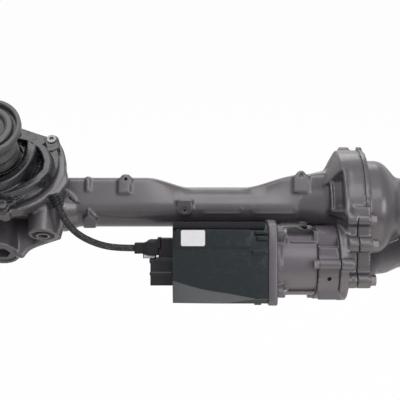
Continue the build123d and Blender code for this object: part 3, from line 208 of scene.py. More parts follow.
def sleeveLook(name):
    # A woven sleeve with pale threads
    look = newLook(name)
    cells = look.add("TexVoronoi", {"feature": "F1"}, {"Vector": look.spot(), "Scale": 1000 / 0.9})
    thread = look.fit(cells, 0.15, 0.45, 1.0, 0.0)
    fleck = look.fit(look.noise(1.3, 2.0, 0.8), 0.58, 0.66, 0.0, 1.0)
    base = look.blend(thread * 0.5, (0.008, 0.008, 0.011), (0.035, 0.035, 0.042))
    base = look.blend(fleck * 0.6, base, (0.22, 0.22, 0.24))
    return look.set(colour=base, rough=0.5, normal=look.bump(thread, 0.3, 0.6), metal=0.0, specular=0.3)


def windingLook(name):
    look = newLook(name)
    wave = look.add("TexWave", {"wave_type": "BANDS"}, {"Vector": look.spot(), "Scale": 700.0, "Distortion": 3.0})
    return look.set(colour=look.blend(wave, (0.25, 0.07, 0.03), (0.6, 0.25, 0.12)), metal=0.8, rough=0.35,
                    normal=look.bump(wave, 0.2, 0.6))


looks = {
    "cast": castLook("cast_housing", castFinish),
    "motorCast": castLook("cast_motor", {
        **castFinish, "colour": (0.082, 0.072, 0.085), "dark": (0.056, 0.049, 0.058), "lump": 16.0, "rough": 0.42,
        "coat": 0.2}),
    "machined": machinedLook("machined_steel", machinedFinish),
    "polished": machinedLook("bearing_steel", {**machinedFinish, "colour": (0.62, 0.62, 0.64), "rough": 0.16}),
    "plated": machinedLook("plated_screws", {
        **machinedFinish, "colour": (0.2, 0.2, 0.21), "dark": (0.13, 0.13, 0.14), "rough": 0.42}),
    "bronze": machinedLook("bush_bronze", {**machinedFinish, "colour": (0.5, 0.33, 0.15), "dark": (0.36, 0.22, 0.1)}),
    "magnet": machinedLook("sintered_core", {
        **machinedFinish, "colour": (0.12, 0.12, 0.13), "dark": (0.08, 0.08, 0.09), "rough": 0.45}),
    "bolt": machinedLook("coated_bolts", {
        **machinedFinish, "colour": (0.15, 0.14, 0.15), "dark": (0.1, 0.095, 0.1), "rough": 0.34, "metal": 0.55}),
    "board": plasticLook("circuit_board", {
        **plasticFinish, "colour": (0.012, 0.09, 0.035), "pale": (0.03, 0.16, 0.07)}),
    "plastic": plasticLook("black_plastic", plasticFinish),
    "cover": plasticLook("cover_plastic", {
        **plasticFinish, "colour": (0.013, 0.013, 0.0165), "pale": (0.028, 0.028, 0.034), "rough": 0.26,
        "bump": 0.015, "shine": 0.55, "dust": 1.0}),
    "unit": plasticLook("unit_paint", {
        **plasticFinish, "colour": (0.009, 0.0135, 0.0165), "pale": (0.012, 0.0165, 0.02), "dust": 1.0,
        "grain": 6.0, "rough": 0.22, "bump": 0.02, "shine": 0.26}),
    # A paler copy of the unit's paint: a painted reflection of the pale floor on the lower face
    "unitPaintedReflection": plasticLook("unit_lower_painted_reflection", {
        **plasticFinish, "colour": (0.062, 0.068, 0.078), "pale": (0.078, 0.084, 0.095), "dust": 1.0,
        "grain": 6.0, "rough": 0.3, "bump": 0.02, "shine": 0.3}),
    "collar": plasticLook("collar_rubber", {
        **plasticFinish, "colour": (0.075, 0.075, 0.078), "pale": (0.1, 0.1, 0.105), "rough": 0.34, "bump": 0.03,
        "shine": 0.35}),
    "ring": plasticLook("bush_rubber", {
        **plasticFinish, "colour": (0.012, 0.012, 0.013), "pale": (0.025, 0.025, 0.027), "rough": 0.6, "bump": 0.06}),
    "rubber": plasticLook("soft_rubber", {
        **plasticFinish, "colour": (0.06, 0.06, 0.064), "pale": (0.095, 0.095, 0.1), "rough": 0.5, "bump": 0.05}),
    "plug": plasticLook("connector_plastic", {
        **plasticFinish, "colour": (0.005, 0.005, 0.008), "pale": (0.015, 0.015, 0.02), "rough": 0.36, "bump": 0.02,
        "shine": 0.28}),
    "belt": plasticLook("belt_rubber", {**plasticFinish, "rough": 0.7, "shine": 0.12}),
    "label": plasticLook("blank_label", {
        **plasticFinish, "colour": (0.6, 0.585, 0.61), "pale": (0.5, 0.49, 0.51), "rough": 0.45, "bump": 0.02}),
    "sleeve": sleeveLook("cable_sleeve"),
    "winding": windingLook("copper_winding"),
}
print("materials made:", len(looks))


# A line is a matrix with its z along a piece. Closed shapes are (points, faces) and are put together into one mesh
def lineAt(origin, xDir, zDir):
    z = Vector(zDir).normalized()
    x = Vector(xDir)
    x = (x - z * x.dot(z)).normalized()
    y = z.cross(x)
    line = Matrix((x, y, z)).transposed().to_4x4()
    line.translation = Vector(origin)
    return line


def moved(line, x=0.0, y=0.0, z=0.0):
    return line @ Matrix.Translation((x, y, z))


# Places along the rack, distances from its axis and angles in degrees
gear = {
    "pinion": -212.0, "towerLean": 55.0, "pinionOffset": 15.3, "motorDistance": 67.2, "motorAngle": 37.6,
    "unitTurn": -22.0, "leftMount": -164.0, "outerMount": -259.0, "rightMount": 254.0, "leftOffset": 34.4,
    "rightOffset": -52.0,
}
half = math.sqrt(0.5)
mountFront = Vector((0, -half, half))
mountDown = Vector((0, -half, -half))
frontOut = Vector((0, -0.9272, 0.3746))  # the front leans back by 22 degrees


def mountLine(x, offset):
    return lineAt(Vector((x, 0, 0)) + mountFront * offset, (1, 0, 0), mountDown)


lean = math.radians(gear["towerLean"])
drop = math.radians(gear["motorAngle"])
rackLine = lineAt((0, 0, 0), (0, 1, 0), (1, 0, 0))
pinionLine = moved(lineAt((gear["pinion"], 0, 0), (1, 0, 0), (0, -math.cos(lean), math.sin(lean))),
                   0, gear["pinionOffset"], 0)
yokeLine = lineAt((gear["pinion"], 0, 0), (1, 0, 0), (0, -math.sin(lean), -math.cos(lean)))
motorSpot = (-gear["motorDistance"] * math.cos(drop), -gear["motorDistance"] * math.sin(drop))
motorLine = lineAt((0, *motorSpot), (0, 1, 0), (1, 0, 0))
motorFront = lineAt((0, *motorSpot), (1, 0, 0), frontOut)
unitLine = motorLine @ Matrix.Rotation(math.radians(gear["unitTurn"]), 4, "Z")
leftMount = mountLine(gear["leftMount"], gear["leftOffset"])
outerMount = mountLine(gear["outerMount"], gear["leftOffset"])
rightMount = mountLine(gear["rightMount"], gear["rightOffset"])


def prism(line, outline, low, high):
    count = len(outline)
    area = sum(a[0] * b[1] - b[0] * a[1] for a, b in zip(outline, outline[1:] + outline[:1]))
    if area < 0:
        outline = list(reversed(outline))
    points = [line @ Vector((x, y, z)) for z in (low, high) for x, y in outline]
    faces = [tuple(reversed(range(count))), tuple(range(count, 2 * count))]
    for index in range(count):
        after = (index + 1) % count
        faces.append((index, after, count + after, count + index))
    return points, faces


def block(line, low, high, bottom, top, start, end):
    return prism(line, [(low, bottom), (high, bottom), (high, top), (low, top)], start, end)


def lathe(line, profile, turns=96):
    # profile is a closed run of (radius, height), or one that starts and ends on the axis
    points = []
    rings = []
    for radius, height in profile:
        if radius < 1e-6:
            rings.append([len(points)] * turns)
            points.append(line @ Vector((0, 0, height)))
        else:
            rings.append(list(range(len(points), len(points) + turns)))
            for turn in range(turns):
                angle = 2 * math.pi * turn / turns
                points.append(line @ Vector((radius * math.cos(angle), radius * math.sin(angle), height)))
    faces = []
    closed = profile[0][0] > 1e-6
    pairs = list(zip(rings, rings[1:])) + ([(rings[-1], rings[0])] if closed else [])
    for first, second in pairs:
        for turn in range(turns):
            after = (turn + 1) % turns
            corner = []
            for spot in (first[turn], first[after], second[after], second[turn]):
                if spot not in corner:
                    corner.append(spot)
            if len(corner) > 2:
                faces.append(tuple(corner))
    return points, faces


def rod(line, radius, low, high, turns=64):
    return lathe(line, [(0, low), (radius, low), (radius, high), (0, high)], turns)


def loft(rings):
    count = len(rings[0])
    points = [Vector(point) for ring in rings for point in ring]
    faces = [tuple(reversed(range(count))), tuple(range(len(points) - count, len(points)))]
    for step in range(len(rings) - 1):
        for index in range(count):
            after = (index + 1) % count
            base = step * count
            faces.append((base + index, base + after, base + count + after, base + count + index))
    return points, faces


def arc(middle, radius, start, end, steps):
    made = []
    for step in range(steps + 1):
        angle = math.radians(start + (end - start) * step / steps)
        made.append((middle[0] + radius * math.cos(angle), middle[1] + radius * math.sin(angle)))
    return made


def turned(line, profile, start, end, steps=24):
    # Part of a turned shape, between two angles in degrees
    rings = []
    for step in range(steps + 1):
        angle = math.radians(start + (end - start) * step / steps)
        rings.append([line @ Vector((radius * math.cos(angle), radius * math.sin(angle), height))
                      for radius, height in profile])
    return loft(rings)


def strand(points, radius, turns=10):
    # A round bar through a few points, with flat ends
    points = [Vector(point) for point in points]
    rings = []
    for index, point in enumerate(points):
        along = points[min(index + 1, len(points) - 1)] - points[max(index - 1, 0)]
        line = lineAt(point, (0.31, 0.17, 0.93), along)
        rings.append([line @ Vector((radius * math.cos(2 * math.pi * turn / turns),
                                     radius * math.sin(2 * math.pi * turn / turns), 0)) for turn in range(turns)])
    return loft(rings)


def beltOutline(firstRadius, secondRadius, second, steps=40):
    # The line that a belt takes round a circle at the origin and a second circle
    distance = math.hypot(*second)
    heading = math.degrees(math.atan2(second[1], second[0]))
    spread = math.degrees(math.acos((firstRadius - secondRadius) / distance))
    return (arc(second, secondRadius, heading - spread, heading + spread, steps)
            + arc((0, 0), firstRadius, heading + spread, heading + 360 - spread, steps * 2))


def softened(outline, radius, steps=5):
    # Rounds an outline's corners
    made = []
    count = len(outline)
    for index in range(count):
        before, corner, after = (Vector(outline[(index + shift) % count]) for shift in (-1, 0, 1))
        inward = (before - corner).normalized()
        outward = (after - corner).normalized()
        turn = inward.angle(outward)
        reach = min(radius / math.tan(turn / 2), (before - corner).length * 0.48, (after - corner).length * 0.48)
        start, end = corner + inward * reach, corner + outward * reach
        for step in range(steps + 1):
            share = step / steps
            made.append(tuple((1 - share) ** 2 * start + 2 * share * (1 - share) * corner + share ** 2 * end))
    return made


def meshOf(name, shapes):
    points = []
    faces = []
    for shapePoints, shapeFaces in shapes:
        base = len(points)
        points += [toMetres(point) for point in shapePoints]
        faces += [tuple(base + index for index in face) for face in shapeFaces]
    mesh = bpy.data.meshes.new(name)
    mesh.from_pydata(points, [], faces)
    made = bmesh.new()
    made.from_mesh(mesh)
    bmesh.ops.recalc_face_normals(made, faces=made.faces)
    made.to_mesh(mesh)
    made.free()
    thing = bpy.data.objects.new(name, mesh)
    bpy.context.collection.objects.link(thing)
    return thing


def copyOf(name, node):
    source = nodes[node]
    thing = bpy.data.objects.new(name, source.data.copy())
    thing.matrix_world = source.matrix_world
    bpy.context.collection.objects.link(thing)
    return thing


def joined(things):
    made = bmesh.new()
    for thing in things:
        part = thing.data.copy()
        part.transform(thing.matrix_world)
        made.from_mesh(part)
        bpy.data.meshes.remove(part)
    bmesh.ops.remove_doubles(made, verts=made.verts, dist=1e-7)
    name = things[0].name
    mesh = bpy.data.meshes.new(name)
    made.to_mesh(mesh)
    made.free()
    for thing in things:
        bpy.data.objects.remove(thing)
    thing = bpy.data.objects.new(name, mesh)
    bpy.context.collection.objects.link(thing)
    return thing


def addStep(thing, kind, **settings):
    step = thing.modifiers.new(kind.lower(), kind)
    for key, value in settings.items():
        setattr(step, key, value)


def fixed(thing):
    # Turns a thing and its modifiers into a plain mesh
    bpy.context.view_layer.update()
    graph = bpy.context.evaluated_depsgraph_get()
    mesh = bpy.data.meshes.new_from_object(thing.evaluated_get(graph))
    mesh.name = thing.name
    thing.modifiers.clear()
    thing.data = mesh
    return thing


def finished(thing, look, body, stands=(), sharp=38.0):
    mesh = thing.data
    mesh.materials.clear()
    mesh.materials.append(looks[look])
    for face in mesh.polygons:
        face.use_smooth = True
        face.material_index = 0
    mesh.set_sharp_from_angle(angle=math.radians(sharp))
    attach(thing, body)
    if stands:
        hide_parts(*stands)
    print("made", thing.name, len(mesh.polygons))
    return thing


def carved(thing, shapes, operation="DIFFERENCE"):
    # Cuts shapes out of a thing, or adds them to it, one after another
    for shape in shapes:
        cutter = meshOf("cutter", [shape])
        addStep(thing, "BOOLEAN", operation=operation, object=cutter, solver="MANIFOLD")
        fixed(thing)
        bpy.data.objects.remove(cutter)
    return thing


def bevelled(thing, width, parts=3, angle=30.0):
    addStep(thing, "BEVEL", width=width / 1000, segments=parts, limit_method="ANGLE", angle_limit=math.radians(angle))
    return fixed(thing)


def moulded(thing, voxel, rounds, pockets=(), cuts=()):
    # One skin over every shape of a thing, with its edges rounded as in a casting
    addStep(thing, "REMESH", mode="VOXEL", voxel_size=voxel / 1000)
    fixed(thing)
    if pockets:
        carved(thing, pockets)
        addStep(thing, "REMESH", mode="VOXEL", voxel_size=voxel / 1000)
    addStep(thing, "SMOOTH", factor=0.5, iterations=rounds)
    fixed(thing)
    return carved(thing, cuts)


# Rack housing. A bore is its radius, start and end. A wall is a profile of (radius, place), with the angles that it
# starts and ends at
housing = {
    "voxel": 1.1, "rounds": 4, "bore": (17.0, -273, 170), "endBore": (22.0, -273, -250),
    "mountBore": (11.5, -43, 48), "yokeBore": (16.5, 35, 75), "tabHole": (1.8, -6, 4), "bossHole": (1.8, 16, 28),
    "tubeRadius": 21.5, "ridgeRadius": 6.0, "leftHeight": 28.0, "rightHeight": 31.5, "waistHeight": 16.1,
    "leftRamp": (-58.0, -8.0), "rightRamp": (44.0, 110.0), "tubeEnds": (-146.0, 112.0),
    # Where the tube opens into the bell: place, tube radius, ridge radius and ridge height
    "bellSteps": [(106, 21.2, 5.9, 31.4), (114, 21.8, 6.2, 31.5), (120, 23.6, 7.2, 31.5), (126, 26.6, 9.2, 30.9),
                  (131, 30.4, 12.0, 29.0), (136, 35.2, 16.5, 25.6), (141, 40.5, 22.0, 20.5), (146, 48.0, 35.0, 15.0),
                  (150, 56.0, 46.0, 12.0), (153, 61.0, 50.2, 11.6)],
    "bellCore": [(0, 100), (20.5, 100), (22.6, 120), (29, 132), (36, 140), (46, 144.5), (58, 149.5), (61.8, 151.5),
                 (61.8, 160), (0, 160)],
    # The upper wall is thicker and ends in a lip, with a ledge above and below its pocket and two ribs
    "bellWalls": [
        ([(30, 131), (35.5, 131.4), (43, 137.6), (52, 142.4), (61.9, 148.2), (61.9, 153), (30, 153)], 50, 119),
        ([(34, 137.6), (43.8, 137.8), (43.8, 140.4), (34, 140.4)], 117, 161),
        ([(50, 149.6), (62.6, 149.6), (62.6, 152.2), (50, 152.2)], 117, 161),
        ([(34, 136), (43.5, 137.6), (62.4, 149.8), (62.4, 153), (34, 153)], 161, 164.5),
        ([(34, 136), (41.5, 137.6), (61.0, 149.8), (61.0, 153), (34, 153)], 166.5, 170)],
    "bellPocket": ([(41, 140.6), (75, 140.6), (75, 149.4), (50.5, 149.4)], 123, 157),
    # The rim carries on over the seam at the front and top, and has a pad at the front
    "rim": ([(58, 158), (62.15, 158), (62.15, 171.5), (58, 171.5)], 25, 164),
    "rimPad": ([(58, 157.5), (64.3, 157.5), (64.3, 176), (58, 176)], 157.5, 168.5),
    # The thick underside between the tube and the bell: place, height and radius
    "webSteps": [(62, -13.0, 7.0), (80, -17.5, 7.2), (100, -20.5, 7.5), (120, -24.0, 8.0), (150, -31.0, 10.0)],
    "webSpot": 3.0,
    "leftBoss": ([(12, -8), (21, -8), (19, 0), (17.4, 12), (16.6, 26), (12, 26)], 100, 440),
    "leftBossSpot": (-164, -24.3, 24.3),
    "leftRib": [(-142, -17.5, 23.5), (-139, -19.0, 20.0), (-134.5, -20.6, 16.0), (-128, -21.4, 14.0)],
    "ribRadius": 1.5,
    "towerLip": ([(62, 14), (66.5, 10), (72.5, -9), (74, -20), (69, -30), (60, -40), (52, -30), (60, -5)], 50, 57),
    # Cuts the fin flush with the tube's underside
    "finRoom": (-134, -102, -36, -22.8, 2, 45),
}

# The tube's front: a tab with a screw hole, a threaded boss and two long low frames
flank = {
    "tab": (-80.0, 25.4), "tabRod": (6.5, -5, 2.3), "holeShift": 0.8,
    "frames": [(3.0, 44.0), (57.0, 102.0)], "frameRadius": 21.75, "frameAngle": 176.0, "frameSteps": 6,
    "frameEnds": [(0, 176), (1.3, 171.5), (1.3, 166), (-0.6, 159)], "wire": 0.55,
    "boss": (-16.5, 0, 0), "bossWay": (0, -1, 0.25),
}


def ridgeHeight(size, x):
    def ease(low, high):
        share = min(max((x - low) / (high - low), 0), 1)
        return share * share * (3 - 2 * share)
    left = size["leftHeight"] + (size["waistHeight"] - size["leftHeight"]) * ease(*size["leftRamp"])
    return left + (size["rightHeight"] - size["waistHeight"]) * ease(*size["rightRamp"])


def tubeRing(x, radius, ridge, height):
    return [rackLine @ Vector((y, z, x)) for y, z in beltOutline(radius, ridge, (0, height), 24)]


def tubeShape(size, grow=0.1):
    low, high = size["tubeEnds"]
    steps = int((high - low) / 2)
    rings = []
    for step in range(steps + 1):
        x = low + (high - low) * step / steps
        rings.append(tubeRing(x, size["tubeRadius"] + grow, size["ridgeRadius"] + grow, ridgeHeight(size, x)))
    return loft(rings)


def underWeb(size):
    rings = []
    for x, height, radius in size["webSteps"]:
        rings.append([Vector((x, y, z)) for y, z in arc((size["webSpot"], height), radius, 0, 340, 17)])
    return loft(rings)


def flankLine(size, x, height):
    # The flat front flank of the tube: y up the flank, z outwards
    lean = math.asin((size["tubeRadius"] - size["ridgeRadius"]) / height)
    normal = Vector((0, -math.cos(lean), math.sin(lean)))
    return lineAt(Vector((x, 0, 0)) + normal * size["tubeRadius"], (1, 0, 0), normal)


def frontPoint(x, angle, radius):
    # A place round the rack's axis: 158 degrees faces the front
    return Vector((x, radius * math.cos(math.radians(angle)), radius * math.sin(math.radians(angle))))


def raisedFrame(start, end):
    # A long low frame with bent ends
    steps = flank["frameSteps"]
    low = [frontPoint(start + (end - start) * step / steps, flank["frameAngle"], flank["frameRadius"])
           for step in range(steps + 1)]
    ends = []
    for x, out in ((start, -1), (end, 1)):
        ends.append(strand([frontPoint(x + out * bend, angle, flank["frameRadius"])
                            for bend, angle in flank["frameEnds"]], flank["wire"]))
    return [strand(low, flank["wire"]), *ends]


def tabLine(size):
    x, up = flank["tab"]
    return moved(flankLine(size, x, size["leftHeight"]), 0, up, 0)


def housingShapes(size):
    bell = [tubeRing(x, radius, ridge, height) for x, radius, ridge, height in size["bellSteps"]]
    shapes = [tubeShape(size), loft(bell)]
    shapes += [turned(rackLine, *wall) for wall in size["bellWalls"]]
    shapes += [underWeb(size), lathe(rackLine, size["bellCore"], 128)]
    shapes += [turned(rackLine, *size["rim"], 60), turned(rackLine, *size["rimPad"])]
    shapes.append(rod(tabLine(size), *flank["tabRod"], 40))
    for start, end in flank["frames"]:
        shapes += raisedFrame(start, end)
    shapes.append(strand(size["leftRib"], size["ribRadius"]))
    shapes.append(turned(lineAt(size["leftBossSpot"], (1, 0, 0), mountDown), *size["leftBoss"], 60))
    shapes.append(prism(pinionLine, *size["towerLip"]))
    return shapes


def housingCuts(size):
    hole = moved(tabLine(size), 0, flank["holeShift"], 0)
    boss = lineAt(flank["boss"], (1, 0, 0), flank["bossWay"])
    return [
        rod(rackLine, *size["bore"]), rod(rackLine, *size["endBore"]),
        rod(leftMount, *size["mountBore"]), rod(outerMount, *size["mountBore"]),
        rod(yokeLine, *size["yokeBore"]), rod(hole, *size["tabHole"]), rod(boss, *size["bossHole"])]


def makeHousing(size):
    body = joined([copyOf("housing_casting", "rack_housing"), meshOf("housing_more", housingShapes(size))])
    pockets = [turned(rackLine, *size["bellPocket"]),
               block(lineAt((0, 0, 0), (1, 0, 0), frontOut), *size["finRoom"])]
    moulded(body, size["voxel"], size["rounds"], pockets, housingCuts(size))
    finished(body, "cast", "housing", ["rack_housing"])


makeHousing(housing)

# Belt cover. The seam cut takes the cover's rim back to the housing's
beltCover = {
    "voxel": 1.1, "rounds": 4, "seamCut": ([(56, 162), (70, 162), (70, 171.85), (56, 171.85)], 24, 165),
    "dome": [(0, 176), (50.6, 176), (50.6, 190), (50.2, 193.5), (48.9, 197), (46.4, 200.6), (42.6, 204.4), (38.4, 208),
             (34.8, 211.2), (32.4, 214.6), (31.5, 219), (31.5, 224), (0, 224)],
    "bores": [(42.5, 160, 192.1), (31.0, 175, 199), (26.0, 190, 237)], "mountBore": (11.5, -20, 60),
    # Two small hooks on the rim: places along, angle and radius
    "hooks": [[(174.4, 147, 61.8), (176.4, 149, 62.4), (176.4, 152, 62.4)],
              [(173.2, 153, 61.8), (175.4, 155.5, 62.4), (175.4, 158, 62.4)]],
    "hookRadius": 0.8,
}


def makeBeltCover(size):
    hooks = [strand([frontPoint(*spot) for spot in hook], size["hookRadius"]) for hook in size["hooks"]]
    body = joined([copyOf("belt_cover_casting", "belt_cover"),
                   meshOf("cover_more", [lathe(rackLine, size["dome"], 128), *hooks])])
    moulded(body, size["voxel"], size["rounds"], (), [
        turned(rackLine, *size["seamCut"], 60), *[rod(rackLine, *bore) for bore in size["bores"]],
        rod(rightMount, *size["mountBore"])])
    finished(body, "cast", "housing", ["belt_cover"])


makeBeltCover(beltCover)

# Sensor cover: heights up the tower, outlines across it
sensorCover = {
    "voxel": 0.6, "rounds": 5, "sharp": 52, "seat": 58.0, "plateTop": 64.0, "lipTop": 76.0, "deckStart": 60.0,
    # The plate is round with its centre shifted, and has one corner cut off by a straight edge
    "plate": 50.5, "plateShift": 13.0, "plateEdge": 53.0, "plateSlope": -0.4,
    "shoe": ([(39.4, 62), (49.5, 62), (48.5, 88), (47.5, 89), (41, 89), (40, 88)], -186, 6), "shoeShift": -6.0,
    "pitFloor": ([(50.5, 62), (60, 62), (60, 67.5), (50.5, 65.5)], -75, -2),
    "shoeEnd": [(33.7, 10.6), (42.8, 2.3), (42.6, -3), (34.2, -3)], "shoeStart": 62.0, "shoeTop": 89.0,
    "clip": [(-45.5, -5), (-55, -5), (-55, 8), (-45.5, 5)], "clipTop": 70.0,
    "ear": [(43, 25), (53, 33), (58, 31), (63.5, 18), (56, 13), (48, 14)], "earTop": 66.0,
    "innerWall": ([(29.4, 62), (31.6, 62), (31.0, 83), (29.8, 83)], -75, 12),
    "innerRing": ([(27, 62), (30, 62), (30, 70), (27, 70)], 0, 360),
    "step": [(-16, 28), (22, 22), (24, 28), (4, 38), (-12, 40)], "stepCorner": 3, "stepStart": 72.0, "stepTop": 77.6,
    "lip": [(43, 17), (50, 12), (55, 3), (58, -8), (57, -20), (49, -31), (36, -41), (20, -48), (0, -50.5), (-20, -47.5),
            (-35, -37), (-43, -22), (-45, 0), (-42, 15)],
    # The lip's wall: height, width and how far out it stands
    "lipWall": [(63, 14, 3.0), (68, 11.5, 1.2), (75, 8.6, 0.2), (76, 6.8, -0.5)],
    "deck": [(-42, 12), (-30, 24), (0, 27), (30, 19), (42, 12), (50, 16.5), (47, 25), (30, 32.5), (18, 37.3), (5, 42.5),
             (-8, 45.0), (-22, 38.5), (-34, 27.5), (-43, 14)],
    # Gussets between the lip's wall and the plate: corners as (distance out, height)
    "gussetTurns": [-66, -38, -12], "gusset": [(50, 63), (60, 63), (52, 73), (50, 73)], "gussetHalf": 0.9,
    "screws": [(54, 28), (11, -54), (-47, 14)], "bossRadius": 7.5, "screwHole": 2.5, "headRoom": 5.6,
    "throat": 17.0, "room": 26.5, "roomTop": 92.0,
}


def grown(outline, by):
    # Moves each point of an outline away from the origin
    return [tuple(Vector(point) * (1 + by / Vector(point).length)) for point in outline]


def tower(x=0.0, y=0.0):
    return moved(pinionLine, x, y, 0)


def lipShapes(size):
    shapes = []
    for start, end in zip(size["lip"], size["lip"][1:]):
        rings = []
        for z, width, out in size["lipWall"]:
            quad = grown([start, end], out) + grown([end, start], out - width)
            rings.append([pinionLine @ Vector((x, y, z)) for x, y in quad])
        shapes.append(loft(rings))
    return shapes


def gussetShapes(size):
    shapes = []
    for turn in size["gussetTurns"]:
        heading = Vector((math.cos(math.radians(turn)), math.sin(math.radians(turn)), 0))
        side = Vector((-heading.y, heading.x, 0)) * size["gussetHalf"]
        corners = [heading * out + Vector((0, 0, height)) for out, height in size["gusset"]]
        shapes.append(loft([[pinionLine @ (corner + side * way) for corner in corners] for way in (-1, 1)]))
    return shapes


def sensorShapes(size):
    seat, top, foot = size["seat"], size["plateTop"], size["shoeStart"]
    plate = [point for point in arc((size["plateShift"], 0), size["plate"], 0, 360, 120)
             if point[1] < size["plateEdge"] + size["plateSlope"] * point[0]]
    shoeLine = tower(size["shoeShift"])
    return [
        prism(pinionLine, plate, seat, top), prism(pinionLine, size["deck"], size["deckStart"], size["lipTop"]),
        turned(shoeLine, *size["shoe"], 96), turned(shoeLine, *size["pitFloor"], 60),
        prism(pinionLine, size["shoeEnd"], foot, size["shoeTop"]),
        prism(pinionLine, size["clip"], foot, size["clipTop"]),
        prism(pinionLine, size["ear"], seat, size["earTop"]),
        turned(pinionLine, *size["innerWall"], 48), turned(pinionLine, *size["innerRing"], 96),
        prism(pinionLine, softened(size["step"], size["stepCorner"]), size["stepStart"], size["stepTop"]),
        *lipShapes(size), *[rod(tower(x, y), size["bossRadius"], seat, top, 40) for x, y in size["screws"]],
        *gussetShapes(size)]


def makeSensorCover(size):
    below = size["seat"] - 1
    top, roomTop = size["plateTop"], size["roomTop"]
    body = meshOf("sensor_cover_moulding", sensorShapes(size))
    moulded(body, size["voxel"], size["rounds"], [], [
        rod(pinionLine, size["throat"], below, top + 1), rod(pinionLine, size["room"], top, roomTop),
        *[rod(tower(x, y), size["screwHole"], below, top + 2, 32) for x, y in size["screws"]],
        *[rod(tower(x, y), size["headRoom"], top, roomTop, 40) for x, y in size["screws"]]])
    finished(body, "cover", "housing", ["sensor_cover"], size["sharp"])


makeSensorCover(sensorCover)

# Sealing collar: a bellows with a wide upper lip, as (radius, height)
collar = {
    "profile": [
        (18.2, 64.1), (25.2, 64.1), (25.6, 68.2), (21.4, 72), (21.4, 73.4), (25.2, 78), (25.2, 79.6), (21.4, 84.6),
        (21.4, 86), (24.8, 91), (24.8, 92.4), (21.5, 97.6), (22.2, 106), (29.6, 115.6), (33.2, 118.6), (33.8, 120),
        (33.8, 126.1), (33.0, 127), (30.2, 127), (29.4, 126), (29.0, 121.4), (28.2, 120.4), (26.2, 120.4),
        (25.6, 121.4), (25.2, 124.8), (24.2, 125.8), (20.2, 126.2), (18.4, 125.2), (17.4, 122.6), (16.4, 121.6),
        (11.0, 121.2), (10.2, 120.4), (11.0, 119.4), (16.4, 118.6), (18.0, 116), (18.0, 107), (18.8, 98), (21.2, 92),
        (18.8, 85.4), (21.4, 79), (18.8, 72.6), (18.2, 68)],
    "turns": 160, "sharp": 24,
}


def makeCollar(size):
    body = meshOf("collar_rubber", [lathe(pinionLine, size["profile"], size["turns"])])
    finished(body, "collar", "housing", ["sealing_collar"], size["sharp"])


makeCollar(collar)

# Motor. A block is along from and to, up from and to, and out from and to, as seen from the front
motor = {
    "voxel": 0.8, "rounds": 3,
    "rearPads": [(80, 88.5, 21, 34, 0, 29), (80, 88, -35.5, -23, 0, 27)],
    "band": ([(33, 79), (36.4, 79), (36.0, 83.5), (33, 85)], 0, 360),
    "frontPads": [(92, 120, 31.5, 34.2, 0, 17), (117, 123, 19, 33.5, 0, 27)],
    "recesses": [([(33.2, 88.8), (45, 88.8), (45, 117.6), (33.2, 117.6)], 93, 113),
                 ([(33.2, 92), (45, 92), (45, 119.4), (33.2, 119.4)], 203, 216)],
    "ledge": (93.4, 119.1, 21.3, 23.8, 22, 28.6), "ledgeEdge": 0.7,
    "shieldPads": [(121.8, 140.8, -14, 17, 20, 37.4), (122, 146, -37.5, -27.5, 0, 27), (124, 142, -2.4, 2.4, 30, 39.4)],
    "shieldRecess": (120, 141.5, 18.2, 32.5, 26, 45), "shieldHole": (132.5, -15.2), "shieldBore": (2.2, 26, 45),
}


def blocks(places):
    return [block(motorFront, *place) for place in places]


def makeMotor(size):
    body = joined([copyOf("motor_casting", "motor_housing"), meshOf("motor_more", [
        *blocks(size["rearPads"]), turned(motorLine, *size["band"], 96), *blocks(size["frontPads"])])])
    moulded(body, size["voxel"], size["rounds"], [], [turned(motorLine, *recess) for recess in size["recesses"]])
    ledge = meshOf("motor_ledge", blocks([size["ledge"]]))
    bevelled(ledge, size["ledgeEdge"])
    finished(ledge, "motorCast", "housing")
    finished(body, "motorCast", "housing", ["motor_housing"])


def makeShield(size):
    shield = joined([copyOf("motor_shield_casting", "motor_end_shield"),
                     meshOf("shield_more", blocks(size["shieldPads"]))])
    hole = moved(motorFront, *size["shieldHole"], 0)
    moulded(shield, size["voxel"], size["rounds"], [], [
        block(motorFront, *size["shieldRecess"]), rod(hole, *size["shieldBore"])])
    finished(shield, "motorCast", "housing", ["motor_end_shield"])


makeMotor(motor)
makeShield(motor)

# Control unit
unit = {
    "start": -28.0, "end": 69.5, "flangeEnd": 79.0, "half": 42.6, "low": 40.2, "edge": 2.2,
    "flangeGrow": 2.0, "flangeEdge": 1.4,
    # The lower front turns inwards below a slow curve: place along and height of its upper edge
    "facet": [(-29, -16.2), (-14, -20.8), (0, -24.7), (15, -27.6), (30.5, -29.8), (47, -33), (64, -36.4), (70.5, -38)],
    "facetFoot": -46.0, "facetSlope": 0.44,
    "panel": ([(-25.5, 17.0), (20, 17.4), (50, 16.6), (52, 18.4), (53, 34.6), (51, 35.6), (-24, 36), (-25.5, 34)],
              -3, 0.9), "panelEdge": 0.5,
    "ribs": [(56, 69.3, 31.2, 34.2, -3, 2.6), (58, 69.3, 25, 29.1, -3, 2.6), (53, 69.3, 10.2, 14.8, -3, 2.8)],
    "ribEdge": 0.6,
    "strip": ([(-42.9, 36.6), (-42.9, 38.8), (-38.2, 42.9), (-30.6, 42.9), (-32.6, 36)], -27.6, 66), "stripEdge": 0.4,
    "footSpot": (-28.6, -40), "foot": (2.6, 56, 63),
    "labelSpot": (-7.1, 27.0), "labelHalf": (12.2, 8.1), "labelCorner": 2.0, "labelRun": (0.6, 1.15),
}


def unitOutline(size, grow=0.0, corner=5.0):
    side = size["half"] + grow
    low = -size["low"] - grow
    return [(-side + 4.6, side - 4.6), (-side, 12.9), (-side, low + corner), (-side + corner, low),
            (20, low), (side - 6, low + 7), (side, -15), (side, 24), (10, side), (-18, side)]


